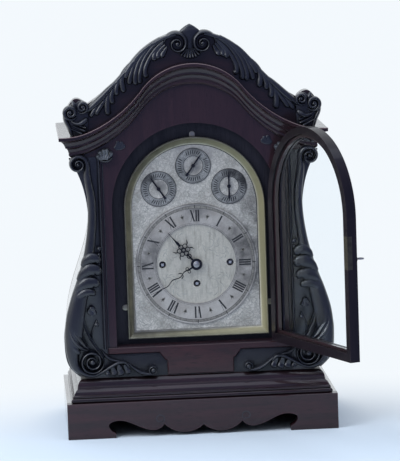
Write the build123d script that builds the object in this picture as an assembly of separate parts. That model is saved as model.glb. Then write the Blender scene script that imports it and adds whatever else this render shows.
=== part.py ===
from build123d import *
import os
from math import asin, atan2, cos, pi, radians, sin, sqrt

# A carved mahogany bracket clock with an arched dial, three winding squares and an open glazed door.
# Sizes are in millimetres. X runs to the right, Y to the back and Z up, and the dial faces -Y.
# The origin is on the table, under the middle of the plinth's back board.
# The door is shown open, as it rests.

# Plinth and base moulding
base_width = 424.0
base_depth = 278.0
plinth_height = 56.0
plinth_board = 18.0
plinth_edge = 1.0
foot_width = 75.0
apron_cusp = 16.0
apron_low = 5.0
apron_crown = 27.5
apron_step = 3.0
apron_ogee = 6.5
# Apron outline: shares of the distance from the middle to the foot
apron_scallop = 0.226
apron_join = 0.445
apron_dip = 0.547
apron_turn = 0.657
eye_share = 0.482
eye_radius = 4.5
eye_groove = 0.9
moulding_height = 36.0
moulding_ledge = 7.0
body_inset = 26.0
moulding_bed = 60.0

# Case boards
back_inset = 11.0
frame_board = 25.0
back_board = 16.0
side_board = 12.0
floor_board = 10.0
board_fit = 0.2
waist_share = 0.543
# Points down the side line: inset from the plinth's side face, share of the height up to the shoulder
side_line = ((34.0, 0.0), (15.0, 0.055), (8.0, 0.176), (20.0, 0.358),
             (42.0, waist_share), (52.0, 0.766), (38.0, 0.936))
side_top_inset = 26.0
shoulder_drop = 49.0
neck_height = 35.3

# Bell-shaped cornice line: a convex crown, a concave sweep down each side and a level end
crown_radius = 99.0
crown_turn = 52.0
crown_sweep = 200.0
ease_inset = 12.0
ease_length = 40.0
# Cornice bands: drop of the upper edge, drop of the lower edge, reach beyond the body
cornice_bands = ((0.0, 6.5, 23.0), (6.5, 9.0, 19.5), (9.0, 15.5, 17.0), (15.5, 18.5, 13.5),
                 (18.5, 26.0, 9.5), (26.0, 29.0, 6.5), (29.0, 33.0, 4.0))
frame_lap = 8.0

# Roof and crest line
crest_rise = 33.4
crest_radius = 116.6
crest_turn = 52.9
crest_sweep = 240.0
crest_inset = 23.0
pediment_drop = 2.0
roof_drop = 28.0
roof_board_thick = 9.0
roof_cap_thick = 6.0
roof_bite = 1.0
# Ear outline: distance out from the crest's end, height above the cornice's level end
ear_line = ((0.0, 46.0), (7.0, 55.0), (18.0, 58.0), (27.0, 50.0), (34.0, 36.5), (31.0, 23.0), (23.0, 0.0))
# Ear scrolls: distance out, height, radius
ear_scrolls = ((20.0, 42.0, 9.0), (13.0, 20.0, 7.0))

# Carved work on the front
carve_ground = 8.0
carve_rib = 13.0
carve_boss = 16.0
rib_width = 15.0
console_overhang = 8.0
console_strip = 15.0
console_gap = 1.0
low_volute_inset = 34.0
low_volute_rise = 27.5
low_volute_radius = 26.0
high_volute_inset = 4.0
high_volute_drop = 45.8
high_volute_radius = 12.5
volute_eye = 0.36
leaf_width = 9.0
console_leaves = 3
leaf_pitch = 17.0
leaf_drop = 34.0
leaf_lean = 13.0
leaf_strip = 7.0
crest_rib = 13.0
crest_start = 33.0
crest_lobes = 6
lobe_drop = 30.0
lobe_curl = 6.0
lobe_margin = 9.0
palmette_rise = 8.8
palmette_half = 20.0
palmette_height = 53.0
palmette_shoulder = 20.0
scroll_place = 19.0
scroll_drop = 31.0
scroll_radius = 13.0
panel_thick = 4.0
panel_inset = 93.0
panel_strip = 10.0
panel_step = 12.0
panel_margin = 1.0
panel_edge = 1.2
# Toe scroll: distance in from the console's inner edge, height above the body's foot
toe_line = ((-5.0, 9.0), (9.0, 22.0), (24.0, 26.0), (36.0, 16.0), (51.0, 11.0), (65.0, 15.0))
toe_beads = ((71.0, 16.0), (24.0, 25.0))
toe_bead = 6.5

# Front opening and door
opening_margin = 82.0
rail_height = 48.0
spring_lift = 4.0
door_gap = 1.0
door_thick = 16.0
door_member = 16.0
door_rail_height = 18.0
door_open = 112.0
glass_lip = 3.5
glass_thick = 2.5
rebate = 4.5
bead_depth = 6.0
glass_fit = 0.3
glass_bed = 0.1

# Hinges
hinge_height = 40.0
hinge_leaf = 1.0
hinge_reach = 13.0
knuckle_radius = 2.0
knuckle_stand = 2.2
pin_radius = 0.9
hinge_fit = 0.05
hinge_slack = 0.2
hinge_rise = 49.0
hinge_drop = 32.0

# Lock, bolt and key
lock_width = 11.0
lock_height = 50.0
lock_depth = 8.0
lock_wall = 1.0
lock_drop = 51.0
bolt_height = 14.0
bolt_thick = 4.0
bolt_rise = 7.0
bolt_travel = 4.0
bolt_fit = 0.25
mortise_fit = 1.0
key_drop = 10.0
key_shank = 1.3
key_fit = 0.4
key_bit = 3.6
key_bit_thick = 1.2
key_bit_width = 3.0
key_bow = 6.0
key_stand = 14.0
key_bow_wire = 1.8
escutcheon_radius = 5.0
escutcheon_thick = 1.0

# Dial
bezel_gap = 19.5
bezel_sill = 8.4
bezel_depth = 8.0
bezel_lip = 1.5
bezel_slope = 10.5
bezel_edge = 1.0
surround_thick = 7.0
surround_lap = 11.0
surround_foot = 12.0
lug_thick = 1.5
lug_half = 5.0
lug_reach = 9.0
lug_rise = 49.6
lug_screw = 1.3
lug_head = 2.6
lug_head_thick = 1.2
lug_slot = 0.7
plate_thick = 3.0
plate_margin = 5.0
plate_fit = 2.0
plate_gap = 0.4
ring_margin = 3.0
ring_sill = 6.4
chapter_thick = 1.8
sub_thick = 1.0
winding_side_rise = 0.7
winding_hole = 5.0
dial_foot = 2.0
dial_foot_inset = 25.5
dial_foot_rise = 78.0
# Shares of the chapter ring's outer radius
ring_share = 0.6534
arch_share = 0.9497
sub_share = 0.2932
sub_hole_share = 0.1571
sub_side_share = (0.5791, 1.2639)
sub_top_share = 1.6251
winding_share = 0.5571
winding_drop_share = 0.3236

# Hands, in degrees clockwise from the top of the dial, and as shares of their rings' outer radius
minute_angle = 236.0
hour_angle = 319.67
sub_hand_angles = (326.0, 36.0, 0.0)
minute_share = 0.9005
hour_share = 0.712
sub_hand_share = 0.857
hand_thick = 1.0
hand_rise = 1.4
hand_gap = 1.4
hand_boss = 8.0
minute_blade = 3.0
minute_wave = 1.6
collet_radius = 4.0
collet_thick = 1.8
sub_hand_arbor = 1.3
sub_hand_boss = 3.0
sub_hand_gap = 0.6
sub_arbor_tail = 4.0

# Movement frame
plate_half = 92.0
plate_rise = 82.7
plate_sill = 1.6
movement_plate = 4.0
motion_room = 17.6
plate_spacing = 70.0
pillar_radius = 4.5
pillar_collar = 1.5
pillar_collar_half = 4.0
pillar_screw = 2.0
pillar_screw_length = 8.0
pillar_head = 2.0
pillar_inset = 12.0
seat_thick = 12.0
seat_inset = 62.0
seat_gap = 0.5
seat_overhang = 3.0
bearer_half = 11.0
bearer_inset = 82.0
pivot_fit = 0.05

# Trains, with wheel sizes as shares of the drop from the centre arbor to the going barrel
wheel_thick = 2.0
great_teeth = 84
great_thick = 3.0
drum_share = 0.8414
drum_wall = 2.0
drum_length = 44.0
drum_back = 16.0
arbor_radius = 3.0
square_side = 4.2
square_length = 15.0
square_stand = 1.0
ratchet_share = 0.4207
ratchet_teeth = 24
ratchet_tooth = 2.0
ratchet_thick = 2.5
ratchet_gap = 1.0
spring_thick = 0.8
spring_turns = 6
spring_hub = 7.0
spring_gap = 1.0
centre_arbor = 1.6
centre_teeth = 80
centre_leaves = 7
centre_share = 0.01942
centre_gap = 5.0
third_teeth = 84
third_leaves = 8
third_share = 0.01618
third_lean_share = 0.4272
third_gap = 1.4
escape_leaves = 7
escape_teeth = 35
escape_share = 0.4854
escape_tooth = 2.4
escape_place_share = 0.4
thin_arbor = 1.2
arbor_shake = 1.0
pinion_lap = 0.5
wheel_rim = 3.0
wheel_hub = 4.5
cannon_teeth = 30
minute_leaves = 6
hour_teeth = 72
motion_share = 0.8414
minute_stud = 0.8
stud_tail = 2.5
cannon_pipe = 2.4
cannon_gap = 3.5
hour_pipe = 3.4
hour_gap = 2.5
pallet_share = 0.6796
pallet_clear = 1.6
pallet_lap = 0.8
# Tooth shapes in modules and shares of the pitch: rise, depth, half width at the root, half width at the tip
wheel_tooth = (0.7, 1.1, 0.46, 0.16)
leaf_tooth = (0.4, 1.2, 0.36, 0.2)

# Pendulum and bells
pendulum_stand = 12.0
pendulum_clear = 11.2
rod_radius = 1.5
rod_tail = 3.0
rod_eye = 4.0
bob_radius = 21.0
bob_thick = 9.0
nut_radius = 5.0
nut_thick = 5.0
crutch_length = 62.0
crutch_gap = 2.5
crutch_thick = 2.0
crutch_width = 3.0
crutch_pin = 0.8
crutch_fit = 0.3
cock_half = 28.0
cock_leg = 8.0
cock_height = 14.0
cock_gap = 6.0
cock_thick = 4.0
bell_count = 8
bell_large = 33.0
bell_step = 2.0
bell_pitch = 17.7
bell_share = 0.62
bell_wall = 1.8
bell_rise = 47.0
bell_rod = 1.5
bell_post_inset = 8.0
bell_post_half = 4.0
bell_post_lap = 25.0
bell_post_head = 6.0

# Back door
back_margin = 10.0
back_sill = 40.0
back_head = 33.3
back_door_thick = 14.0
back_field = 24.0
back_field_depth = 4.0
back_hinge_inset = 59.0
knob_radius = 7.0
knob_length = 16.0

# Places worked out from the sizes above
half_width = base_width / 2
back_face = plinth_board / 2
front_face = back_face - base_depth
body_foot = plinth_height + moulding_height
floor_top = body_foot + floor_board
body_front = front_face + body_inset
body_back = back_face - back_inset
body_half = half_width - side_top_inset
frame_back = body_front + frame_board
back_front = body_back - back_board

opening_half = half_width - opening_margin
opening_bottom = body_foot + rail_height
bezel_half = opening_half - bezel_gap
bezel_bottom = opening_bottom + bezel_sill
bezel_frame = bezel_lip + bezel_slope
chapter_outer = bezel_half - bezel_frame - ring_margin
chapter_inner = ring_share * chapter_outer
dial_height = bezel_bottom + bezel_frame + ring_sill + chapter_outer
bezel_spring = dial_height + arch_share * chapter_outer
opening_spring = bezel_spring + spring_lift
surround_half = opening_half + surround_lap
sub_outer = sub_share * chapter_outer
sub_inner = sub_hole_share * chapter_outer
winding_side = winding_share * chapter_outer
winding_drop = winding_drop_share * chapter_outer
minute_length = minute_share * chapter_outer
hour_length = hour_share * chapter_outer
sub_hand_length = sub_hand_share * sub_outer

side_top_height = opening_spring + opening_half - shoulder_drop - body_foot
shoulder = body_foot + side_top_height
level_end = shoulder + neck_height
cornice_reach = cornice_bands[0][2]
cornice_height = cornice_bands[-1][1]
turn = radians(crown_turn)
ease_end = half_width - ease_inset
ease_start = ease_end - ease_length
sweep_x = (crown_radius + crown_sweep) * sin(turn)
ease_slope = asin((sweep_x - ease_start) / crown_sweep)
ease_radius = ease_length / sin(ease_slope)
sweep_z = level_end + ease_radius * (1 - cos(ease_slope)) + crown_sweep * cos(ease_slope)
crown_centre = sweep_z - (crown_radius + crown_sweep) * cos(turn)
crest_centre_height = crown_centre + crest_rise
crest_half = body_half - crest_inset
palmette_top = crest_centre_height + crest_radius + palmette_rise

console_inner = opening_half + console_strip
console_top = level_end - cornice_height - board_fit
low_volute = (half_width - low_volute_inset, body_foot + low_volute_rise, low_volute_radius)
high_volute = (body_half - high_volute_inset, level_end - high_volute_drop, high_volute_radius)
panel_half = console_inner - panel_inset

surround_back = frame_back + surround_thick
bezel_back = frame_back
plate_front = frame_back + plate_gap
plate_back = plate_front + plate_thick
ring_front = plate_front - chapter_thick
hour_back = ring_front - hand_rise
minute_back = hour_back - hand_thick - hand_gap
front_plate_front = plate_back + motion_room
front_plate_back = front_plate_front + movement_plate
back_plate_front = front_plate_back + plate_spacing
back_plate_back = back_plate_front + movement_plate
plate_foot = bezel_bottom + plate_sill
plate_top = dial_height + plate_rise
going_height = dial_height - winding_drop
side_barrel_height = dial_height + winding_side_rise
seat_half = half_width - seat_inset
bearer_place = half_width - bearer_inset

door_half = opening_half - door_gap
door_bottom = opening_bottom + door_gap
door_back = body_front + door_thick
hinge_x = opening_half - door_gap / 2
hinge_y = body_front - knuckle_stand
front_hinges = (door_bottom + hinge_rise, opening_spring - hinge_drop)
lock_middle = opening_spring - lock_drop
back_half = opening_half - back_margin
back_bottom = body_foot + back_sill
back_top = level_end - back_head
back_hinge_x = -(back_half - door_gap / 2)
back_hinge_y = body_back + knuckle_stand
back_hinges = (back_bottom + back_hinge_inset, back_top - back_hinge_inset)

great_module = 2 * winding_drop / (great_teeth + centre_leaves)
centre_module = centre_share * winding_drop
third_module = third_share * winding_drop
third_lean = third_lean_share * winding_drop
drum_radius = drum_share * winding_drop
ratchet_radius = ratchet_share * winding_drop
escape_radius = escape_share * winding_drop
motion_distance = motion_share * winding_drop
pallet_rise = pallet_share * winding_drop
centre_reach = centre_module * (centre_teeth + third_leaves) / 2
third_reach = third_module * (third_teeth + escape_leaves) / 2
third_height = dial_height + sqrt(centre_reach ** 2 - third_lean ** 2)
escape_height = third_height + sqrt(third_reach ** 2 - third_lean ** 2)
pallet_height = escape_height + pallet_rise
drum_front = back_plate_front - drum_back - drum_length
great_front = back_plate_front - drum_back
centre_plane = great_front + great_thick + centre_gap
third_plane = back_plate_front - wheel_thick - third_gap
escape_plane = front_plate_back + escape_place_share * plate_spacing
minute_wheel_place = (motion_distance / 2, dial_height + motion_distance * sqrt(3) / 2)
cannon_module = motion_distance / cannon_teeth
hour_module = 2 * motion_distance / (hour_teeth + minute_leaves)
cannon_plane = front_plate_front - cannon_gap - wheel_thick
hour_plane = cannon_plane - wheel_thick - hour_gap
pendulum_depth = back_plate_back + pendulum_stand
bob_height = floor_top + pendulum_clear + rod_tail + nut_thick + bob_radius
bell_height = plate_top + bell_rise
bell_post = plate_half - bell_post_inset


def slab(face, front, back):
    """Makes a face drawn in X and Z a solid between two depths."""
    return extrude(Plane.XZ.offset(-back) * face, back - front)


def rod(x, z, radius, front, back):
    """A round rod along Y."""
    return slab(Pos(x, z) * Circle(radius), front, back)


def block(x0, x1, y0, y1, z0, z1):
    """A box between two corners."""
    return Pos((x0 + x1) / 2, (y0 + y1) / 2, (z0 + z1) / 2) * Box(abs(x1 - x0), abs(y1 - y0), abs(z1 - z0))


def pair(shape):
    """A solid and its mirror image across the middle of the clock."""
    return Compound(children=[shape, mirror(shape, about=Plane.YZ)])


def group(shapes):
    """Several separate solids in one node."""
    return Compound(children=list(shapes))


def arch(half, bottom, spring):
    """A round-headed outline: straight sides up to the spring line, then a half circle."""
    foot = Polyline((-half, spring), (-half, bottom), (half, bottom), (half, spring))
    head = ThreePointArc((half, spring), (0, spring + half), (-half, spring))
    return make_face(foot.edges() + head.edges())


def arc_height(radius, centre, angle, sweep, x):
    """Height of the concave sweep of a bell line at a distance from the middle."""
    far_x = (radius + sweep) * sin(angle)
    far_z = centre + (radius + sweep) * cos(angle)
    return far_z - sqrt(sweep ** 2 - (far_x - x) ** 2)


def bell_arcs(radius, centre, angle, sweep, end, lift):
    """The crown and the two sweeps of a bell line, out to a half width, as edges."""
    x = radius * sin(angle)
    z = centre + radius * cos(angle) + lift
    middle = (x + end) / 2
    middle_z = arc_height(radius, centre, angle, sweep, middle) + lift
    end_z = arc_height(radius, centre, angle, sweep, end) + lift
    edges = [ThreePointArc((-x, z), (0, centre + radius + lift), (x, z))]
    for side in (-1, 1):
        edges.append(ThreePointArc((side * x, z), (side * middle, middle_z), (side * end, end_z)))
    return edges, end_z


def under(edges, half, end_z, floor):
    """The face between a line across the clock and a level floor."""
    walls = Polyline((-half, end_z), (-half, floor), (half, floor), (half, end_z))
    return make_face(list(edges) + list(walls.edges()))


def under_cornice(drop, floor):
    """The face below the cornice line, lowered by a drop."""
    edges, start_z = bell_arcs(crown_radius, crown_centre, turn, crown_sweep, ease_start, -drop)
    bend_x = ease_end - ease_radius * sin(ease_slope / 2)
    bend_z = level_end + ease_radius * (1 - cos(ease_slope / 2)) - drop
    half = body_half + cornice_reach
    for side in (-1, 1):
        end = (side * ease_end, level_end - drop)
        edges.append(ThreePointArc((side * ease_start, start_z), (side * bend_x, bend_z), end))
        edges.append(Line(end, (side * half, level_end - drop)))
    return under(edges, half, level_end - drop, floor)


def under_crest(drop, half, floor):
    """The face below the crest line, lowered by a drop."""
    angle = radians(crest_turn)
    edges, end_z = bell_arcs(crest_radius, crest_centre_height, angle, crest_sweep, half, -drop)
    return under(edges, half, end_z, floor)


def side_edge(grow):
    """The waisted side line of the right half, moved out by an amount."""
    points = [(half_width - inset + grow, body_foot + share * side_top_height) for inset, share in side_line]
    points.append((body_half + grow, shoulder))
    return Spline(*points)


def waisted(top):
    """The whole waisted front outline up to a level top."""
    right = side_edge(0)
    left = mirror(right, about=Plane.YZ)
    foot = half_width - side_line[0][0]
    cap = Polyline((body_half, shoulder), (body_half, top), (-body_half, top), (-body_half, shoulder))
    base = Line((-foot, body_foot), (foot, body_foot))
    return make_face([right, left, base] + list(cap.edges()))


def ear_face():
    """The outline of the right ear, from its foot on the cornice up to its tip."""
    points = [(crest_half + out, level_end + up) for out, up in ear_line]
    curve = Spline(*points)
    foot = Polyline(points[-1], (crest_half, points[-1][1]), points[0])
    return make_face([curve] + list(foot.edges()))


def gear(teeth, module, centre, angle, shape):
    """A wheel outline with straight-sided teeth, one of them at the given angle."""
    rise, depth, root, tip = shape
    pitch = 2 * pi / teeth
    radius = teeth * module / 2
    corners = ((radius - depth * module, -root), (radius + rise * module, -tip),
               (radius + rise * module, tip), (radius - depth * module, root))
    points = []
    for tooth in range(teeth):
        for reach, share in corners:
            turned = angle + (tooth + share / 2) * pitch
            points.append((centre[0] + reach * cos(turned), centre[1] + reach * sin(turned)))
    return make_face(Polyline(*points, close=True))


def toward(start, end):
    """The angle of the line from one centre to another."""
    return atan2(end[1] - start[1], end[0] - start[0])


def crossings(centre, outer, inner, count):
    """The openings between the arms of a wheel, as one sketch."""
    ring = Pos(*centre) * (Circle(outer) - Circle(inner))
    for arm in range(count):
        bar = Rot(0, 0, 180 * arm / count) * Rectangle(2.2 * outer, 0.16 * outer)
        ring -= Pos(*centre) * bar
    return ring


def make_plinth():
    """The front apron board with its cusped lower edge, and the plain side and back boards."""
    foot_in = half_width - foot_width
    join = (apron_join * foot_in, apron_cusp + apron_step)
    toe = (foot_in + apron_ogee, 2 * apron_low + 1)
    start = Line((0, -1), (0, apron_cusp))
    scallop = ThreePointArc((0, apron_cusp), (apron_scallop * foot_in, apron_low), join)
    sweep_points = (join, (apron_dip * foot_in, 2.1 * apron_low), (apron_turn * foot_in, 2.5 * apron_low),
                    (foot_in - 3.5 * apron_ogee, 0.84 * apron_crown),
                    (foot_in - 0.8 * apron_ogee, apron_crown),
                    (foot_in + 1.6 * apron_ogee, 0.8 * apron_crown), toe)
    sweep_curve = Spline(*sweep_points)
    step = Polyline(toe, (foot_in, 1.4 * apron_low), (foot_in, -1), (0, -1))
    cut = make_face([start, scallop, sweep_curve] + list(step.edges()))
    front = block(-half_width, half_width, front_face, front_face + plinth_board, 0, plinth_height)
    opening = slab(cut, front_face - 1, front_face + plinth_board + 1)
    front -= opening
    front -= mirror(opening, about=Plane.YZ)
    groove = Pos(eye_share * foot_in, apron_crown) * (Circle(eye_radius) - Circle(eye_radius - eye_groove))
    eye = slab(groove, front_face - 1, front_face + eye_groove)
    front -= eye
    front -= mirror(eye, about=Plane.YZ)
    front = chamfer(front.edges().filter_by(Axis.X).group_by(Axis.Z)[-1].sort_by(Axis.Y)[0:1], plinth_edge)

    near = front_face + plinth_board
    far = back_face - plinth_board
    side = block(half_width - plinth_board, half_width, near, far, 0, plinth_height)
    back = block(-half_width, half_width, far, back_face, 0, plinth_height)
    left = mirror(side, about=Plane.YZ)
    return front, group([side, left, back])


def moulding_profile():
    """The base moulding's section: inset from the plinth's face, height above the plinth."""
    high = moulding_height
    rise = high / 36
    deep = body_inset
    points = [(moulding_ledge, 0), (moulding_ledge, 2.5 * rise)]
    ovolo = ThreePointArc(points[-1], (moulding_ledge + 1.4, 7.5 * rise), (moulding_ledge + 6, 10.5 * rise))
    fillet_line = Polyline((moulding_ledge + 6, 10.5 * rise), (moulding_ledge + 7.2, 10.5 * rise),
                           (moulding_ledge + 7.2, 12.5 * rise))
    cove = ThreePointArc((moulding_ledge + 7.2, 12.5 * rise), (moulding_ledge + 9, 18.5 * rise),
                         (deep - 5.5, 22 * rise))
    step = Polyline((deep - 5.5, 22 * rise), (deep - 5.5, 23.5 * rise), (deep - 4.5, 23.5 * rise))
    bead = ThreePointArc((deep - 4.5, 23.5 * rise), (deep - 7.0, 26.5 * rise), (deep - 4.5, 29.5 * rise))
    neck = ThreePointArc((deep - 4.5, 29.5 * rise), (deep - 3.4, 33 * rise), (deep, high))
    close = Polyline((deep, high), (moulding_bed, high), (moulding_bed, 0), (moulding_ledge, 0), points[-1])
    edges = [ovolo, cove, bead, neck] + list(fillet_line.edges()) + list(step.edges()) + list(close.edges())
    return make_face(edges)


def make_base_mouldings():
    """Mitred mouldings on the front and sides of the plinth, and a plain rail at the back."""
    profile = Pos(0, plinth_height) * moulding_profile()
    front_plane = Plane((-half_width, front_face, 0), x_dir=(0, 1, 0), z_dir=(1, 0, 0))
    side_plane = Plane((half_width, front_face, 0), x_dir=(-1, 0, 0), z_dir=(0, 1, 0))
    corner = (half_width, front_face)
    inner = (half_width - moulding_bed, front_face + moulding_bed)
    left_edge = ((-inner[0], inner[1]), (-corner[0], corner[1]))
    front_plan = make_face(Polyline(corner, inner, *left_edge, close=True))
    side_plan = make_face(Polyline(corner, (corner[0], back_face), (inner[0], back_face), inner, close=True))
    front = extrude(front_plane * profile, base_width) & extrude(front_plan, 2 * body_foot)
    side = extrude(side_plane * profile, base_depth) & extrude(side_plan, 2 * body_foot)
    left = mirror(side, about=Plane.YZ)
    rail = block(-inner[0], inner[0], back_face - moulding_bed / 2, back_face, plinth_height, body_foot)
    return group([front, side, left, rail])


def make_case_floor():
    """The floor board inside the foot of the case."""
    half = half_width - side_line[0][0] - side_board - board_fit
    return block(-half, half, frame_back + board_fit, back_front - board_fit, body_foot, floor_top)


def hinge_leaf_box(x0, x1, middle, y_front, y_back):
    """The shallow seat of one hinge leaf."""
    return block(x0, x1, y_front, y_back, middle - hinge_height / 2, middle + hinge_height / 2)


def make_front_frame():
    """The front board with its arched opening, hinge seats and the mortise for the bolt."""
    face = waisted(crown_centre + crown_radius) & under_cornice(frame_lap, body_foot)
    face -= arch(opening_half, opening_bottom, opening_spring)
    board = slab(face, body_front, frame_back)
    for middle in front_hinges:
        seat = (opening_half - 1, opening_half + hinge_leaf)
        board -= hinge_leaf_box(*seat, middle, body_front - 1, body_front + hinge_reach)
    bolt_low = lock_middle + bolt_rise - bolt_height / 2
    bolt_y = door_back - lock_depth / 2
    reach = bolt_travel + mortise_fit
    pocket = block(-opening_half - reach, -opening_half + 1, bolt_y - bolt_thick, bolt_y + bolt_thick,
                   bolt_low - mortise_fit, bolt_low + bolt_height + mortise_fit)
    return board - pocket


def make_case_sides():
    """The two waisted side boards."""
    outer = side_edge(0)
    inner = side_edge(-side_board)
    foot = half_width - side_line[0][0]
    base = Line((foot - side_board, body_foot), (foot, body_foot))
    cap = Polyline((body_half, shoulder), (body_half, level_end), (body_half - side_board, level_end),
                   (body_half - side_board, shoulder))
    face = make_face([outer, inner, base] + list(cap.edges()))
    return pair(slab(face, frame_back, back_front))


def make_back_frame():
    """The back board with the back door's opening and the roof's outline on top."""
    face = waisted(level_end) + under_crest(roof_drop, crest_half, level_end - 1)
    middle = (back_bottom + back_top) / 2
    face -= Pos(0, middle) * Rectangle(2 * back_half, back_top - back_bottom)
    board = slab(face, back_front, body_back)
    for height in back_hinges:
        seat = (-back_half - hinge_leaf, -back_half + 1)
        board -= hinge_leaf_box(*seat, height, body_back - hinge_reach, body_back + 1)
    return board


def make_roof():
    """The bell-shaped roof board, set down behind the crest, with a curb and a capping along each side."""
    shell = under_crest(roof_drop, crest_half, level_end)
    shell -= under_crest(roof_drop + roof_board_thick, crest_half, level_end)
    roof = slab(shell, frame_back, back_front)
    inner = crest_half - roof_board_thick
    curb_top = crest_height(crest_half) - roof_drop - roof_bite
    curb = block(inner, crest_half, frame_back, back_front, level_end, curb_top)
    cap = block(inner, body_half, frame_back, back_front, level_end, level_end + roof_cap_thick)
    side = curb + cap
    return roof + side + mirror(side, about=Plane.YZ)


def make_pediment():
    """The plain board between the cornice and the crest line, with an ear at each end."""
    floor = level_end - frame_lap
    face = under_crest(pediment_drop, crest_half, floor) - under_cornice(frame_lap, floor - 1)
    ear = ear_face()
    face += ear
    face += mirror(ear, about=Plane.YZ)
    return slab(face, body_front, frame_back)


def make_cornice():
    """The bell-shaped front cornice and its returns along the sides."""
    floor = level_end - 2 * cornice_height
    front = None
    side = None
    for upper, lower, reach in cornice_bands:
        half = body_half + reach
        band = under_cornice(upper, floor) - under_cornice(lower, floor)
        band &= Pos(0, level_end) * Rectangle(2 * half, 4 * crown_sweep)
        step = slab(band, body_front - reach, body_front)
        front = step if front is None else front + step
        run = block(body_half, half, body_front, body_back, level_end - lower, level_end - upper)
        side = run if side is None else side + run
    return group([front, side, mirror(side, about=Plane.YZ)])


def scroll_boss(x, z, radius, front):
    """A turned volute: a disc with a sunk ring and a raised eye."""
    disc = rod(x, z, radius, front, body_front)
    ring = Pos(x, z) * (Circle(0.78 * radius) - Circle(0.55 * radius))
    disc -= slab(ring, front - 1, front + 0.25 * radius)
    return disc + rod(x, z, volute_eye * radius, front - 0.12 * radius, body_front)


def leaf(points, front):
    """A leaf rib along a curve, with round ends."""
    line = Spline(*points)
    face = trace(line, line_width=leaf_width)
    face += Pos(*points[0]) * Circle(leaf_width / 2)
    face += Pos(*points[-1]) * Circle(leaf_width / 2)
    return slab(face, front, body_front)


def make_consoles():
    """The carved scroll pilasters: a flat ground, an outer rib, two volutes and a leaf."""
    foot = body_foot + console_gap
    edge = side_edge(console_overhang)
    middle = (foot + console_top) / 2
    field = Pos(console_inner + half_width, middle) * Rectangle(base_width, console_top - foot)
    start = half_width - side_line[0][0] + console_overhang
    outer = body_half + console_overhang
    wall = Polyline((outer, shoulder), (outer, level_end), (0, level_end), (0, body_foot), (start, body_foot))
    inside = make_face([edge] + list(wall.edges()))
    face = inside & field
    rib = face - Pos(-rib_width, 0) * inside
    body = slab(face, body_front - carve_ground, body_front)
    body += slab(rib, body_front - carve_rib, body_front)
    body += scroll_boss(*low_volute, body_front - carve_boss)
    body += scroll_boss(*high_volute, body_front - carve_boss)
    waist = body_foot + waist_share * side_top_height
    for step in range(console_leaves):
        x = console_inner + leaf_strip + 0.2 * leaf_pitch * step
        top = waist + leaf_drop - leaf_pitch * step
        points = ((x, top), (x + 0.3 * leaf_lean, top - 0.6 * leaf_drop), (x + leaf_lean, top - leaf_drop))
        body += leaf(points, body_front - carve_rib)
    return pair(body)


def make_toe_scrolls():
    """The running leaf scrolls on the bottom rail, ending in a round bead."""
    points = [(console_inner - inward, body_foot + rise) for inward, rise in toe_line]
    scroll = leaf(points, body_front - carve_ground)
    for inward, rise in toe_beads:
        scroll += rod(console_inner - inward, body_foot + rise, toe_bead, body_front - carve_rib, body_front)
    edge = console_inner - panel_margin
    cut = block(edge, edge + half_width, body_front - 2 * carve_boss, body_front, 0, level_end)
    return pair(scroll - cut)


def make_rail_panel():
    """The raised panel on the bottom rail: a strip under the door and a block in the middle."""
    top = opening_bottom - panel_margin
    edge = console_inner - panel_margin
    foot = body_foot + console_gap
    low = top - panel_strip
    right = [(edge, top), (edge, low), (panel_half + panel_step, low),
             (panel_half + panel_step / 4, low - panel_step), (panel_half, low - panel_step - panel_margin),
             (panel_half, foot)]
    left = [(-x, z) for x, z in reversed(right)]
    panel = slab(make_face(Polyline(*right, *left, close=True)), body_front - panel_thick, body_front)
    return chamfer(panel.faces().sort_by(Axis.Y)[0].edges(), panel_edge)


def make_crest_centre():
    """The pointed palmette between two facing scrolls."""
    tip = palmette_top
    side = (palmette_half, tip - palmette_shoulder)
    height = tip - scroll_drop
    right = ThreePointArc((0, tip), (0.62 * palmette_half, tip - 0.45 * palmette_shoulder), side)
    lower = Spline(side, (0.5 * palmette_half, height - 0.6 * scroll_radius), (0, tip - palmette_height))
    face = make_face([right, lower, mirror(right, about=Plane.YZ), mirror(lower, about=Plane.YZ)])
    body = slab(face, body_front - carve_rib, body_front)
    for side_sign in (-1, 1):
        body += scroll_boss(side_sign * scroll_place, height, scroll_radius, body_front - carve_boss)
    return body


def crest_height(x):
    """Height of the crest line at a distance from the middle."""
    if x < crest_radius * sin(radians(crest_turn)):
        return crest_centre_height + sqrt(crest_radius ** 2 - x ** 2)
    return arc_height(crest_radius, crest_centre_height, radians(crest_turn), crest_sweep, x)


def make_crest_leaves():
    """The leafy ribs down both slopes of the crest, with lobes that curl in below them."""
    rib = under_crest(0, crest_half, level_end) - under_crest(crest_rib, crest_half, level_end)
    length = crest_half - crest_start
    rib &= Pos(crest_start + length / 2, crest_centre_height) * Rectangle(length, 4 * crest_radius)
    body = slab(rib, body_front - carve_rib, body_front)
    for lobe in range(crest_lobes):
        x = crest_start + lobe_margin + lobe * (length - 3 * lobe_margin) / (crest_lobes - 1)
        z = crest_height(x) - crest_rib / 2
        tip = z - lobe_drop * (1 - lobe / (2 * crest_lobes))
        points = ((x, z), (x + lobe_curl / 4, (z + tip) / 2), (x - lobe_curl, tip))
        body += leaf(points, body_front - carve_ground)
    return pair(body)


def make_crest_ears():
    """The carved ears at the ends of the crest, each with two scroll eyes."""
    body = slab(ear_face() - under_cornice(0, level_end - 1), body_front - carve_ground, body_front)
    for out, up, radius in ear_scrolls:
        body += scroll_boss(crest_half + out, level_end + up, radius, body_front - carve_rib)
    return pair(body)


def make_dial_surround():
    """The dark board behind the opening that frames the dial."""
    face = arch(surround_half, opening_bottom - surround_foot, opening_spring)
    face -= arch(bezel_half - plate_margin, bezel_bottom + plate_margin, bezel_spring)
    board = slab(face, frame_back, surround_back)
    for x, z in lug_places():
        board -= rod(x, z, lug_screw + pivot_fit, frame_back - 1, surround_back - 1)
    return board


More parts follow.
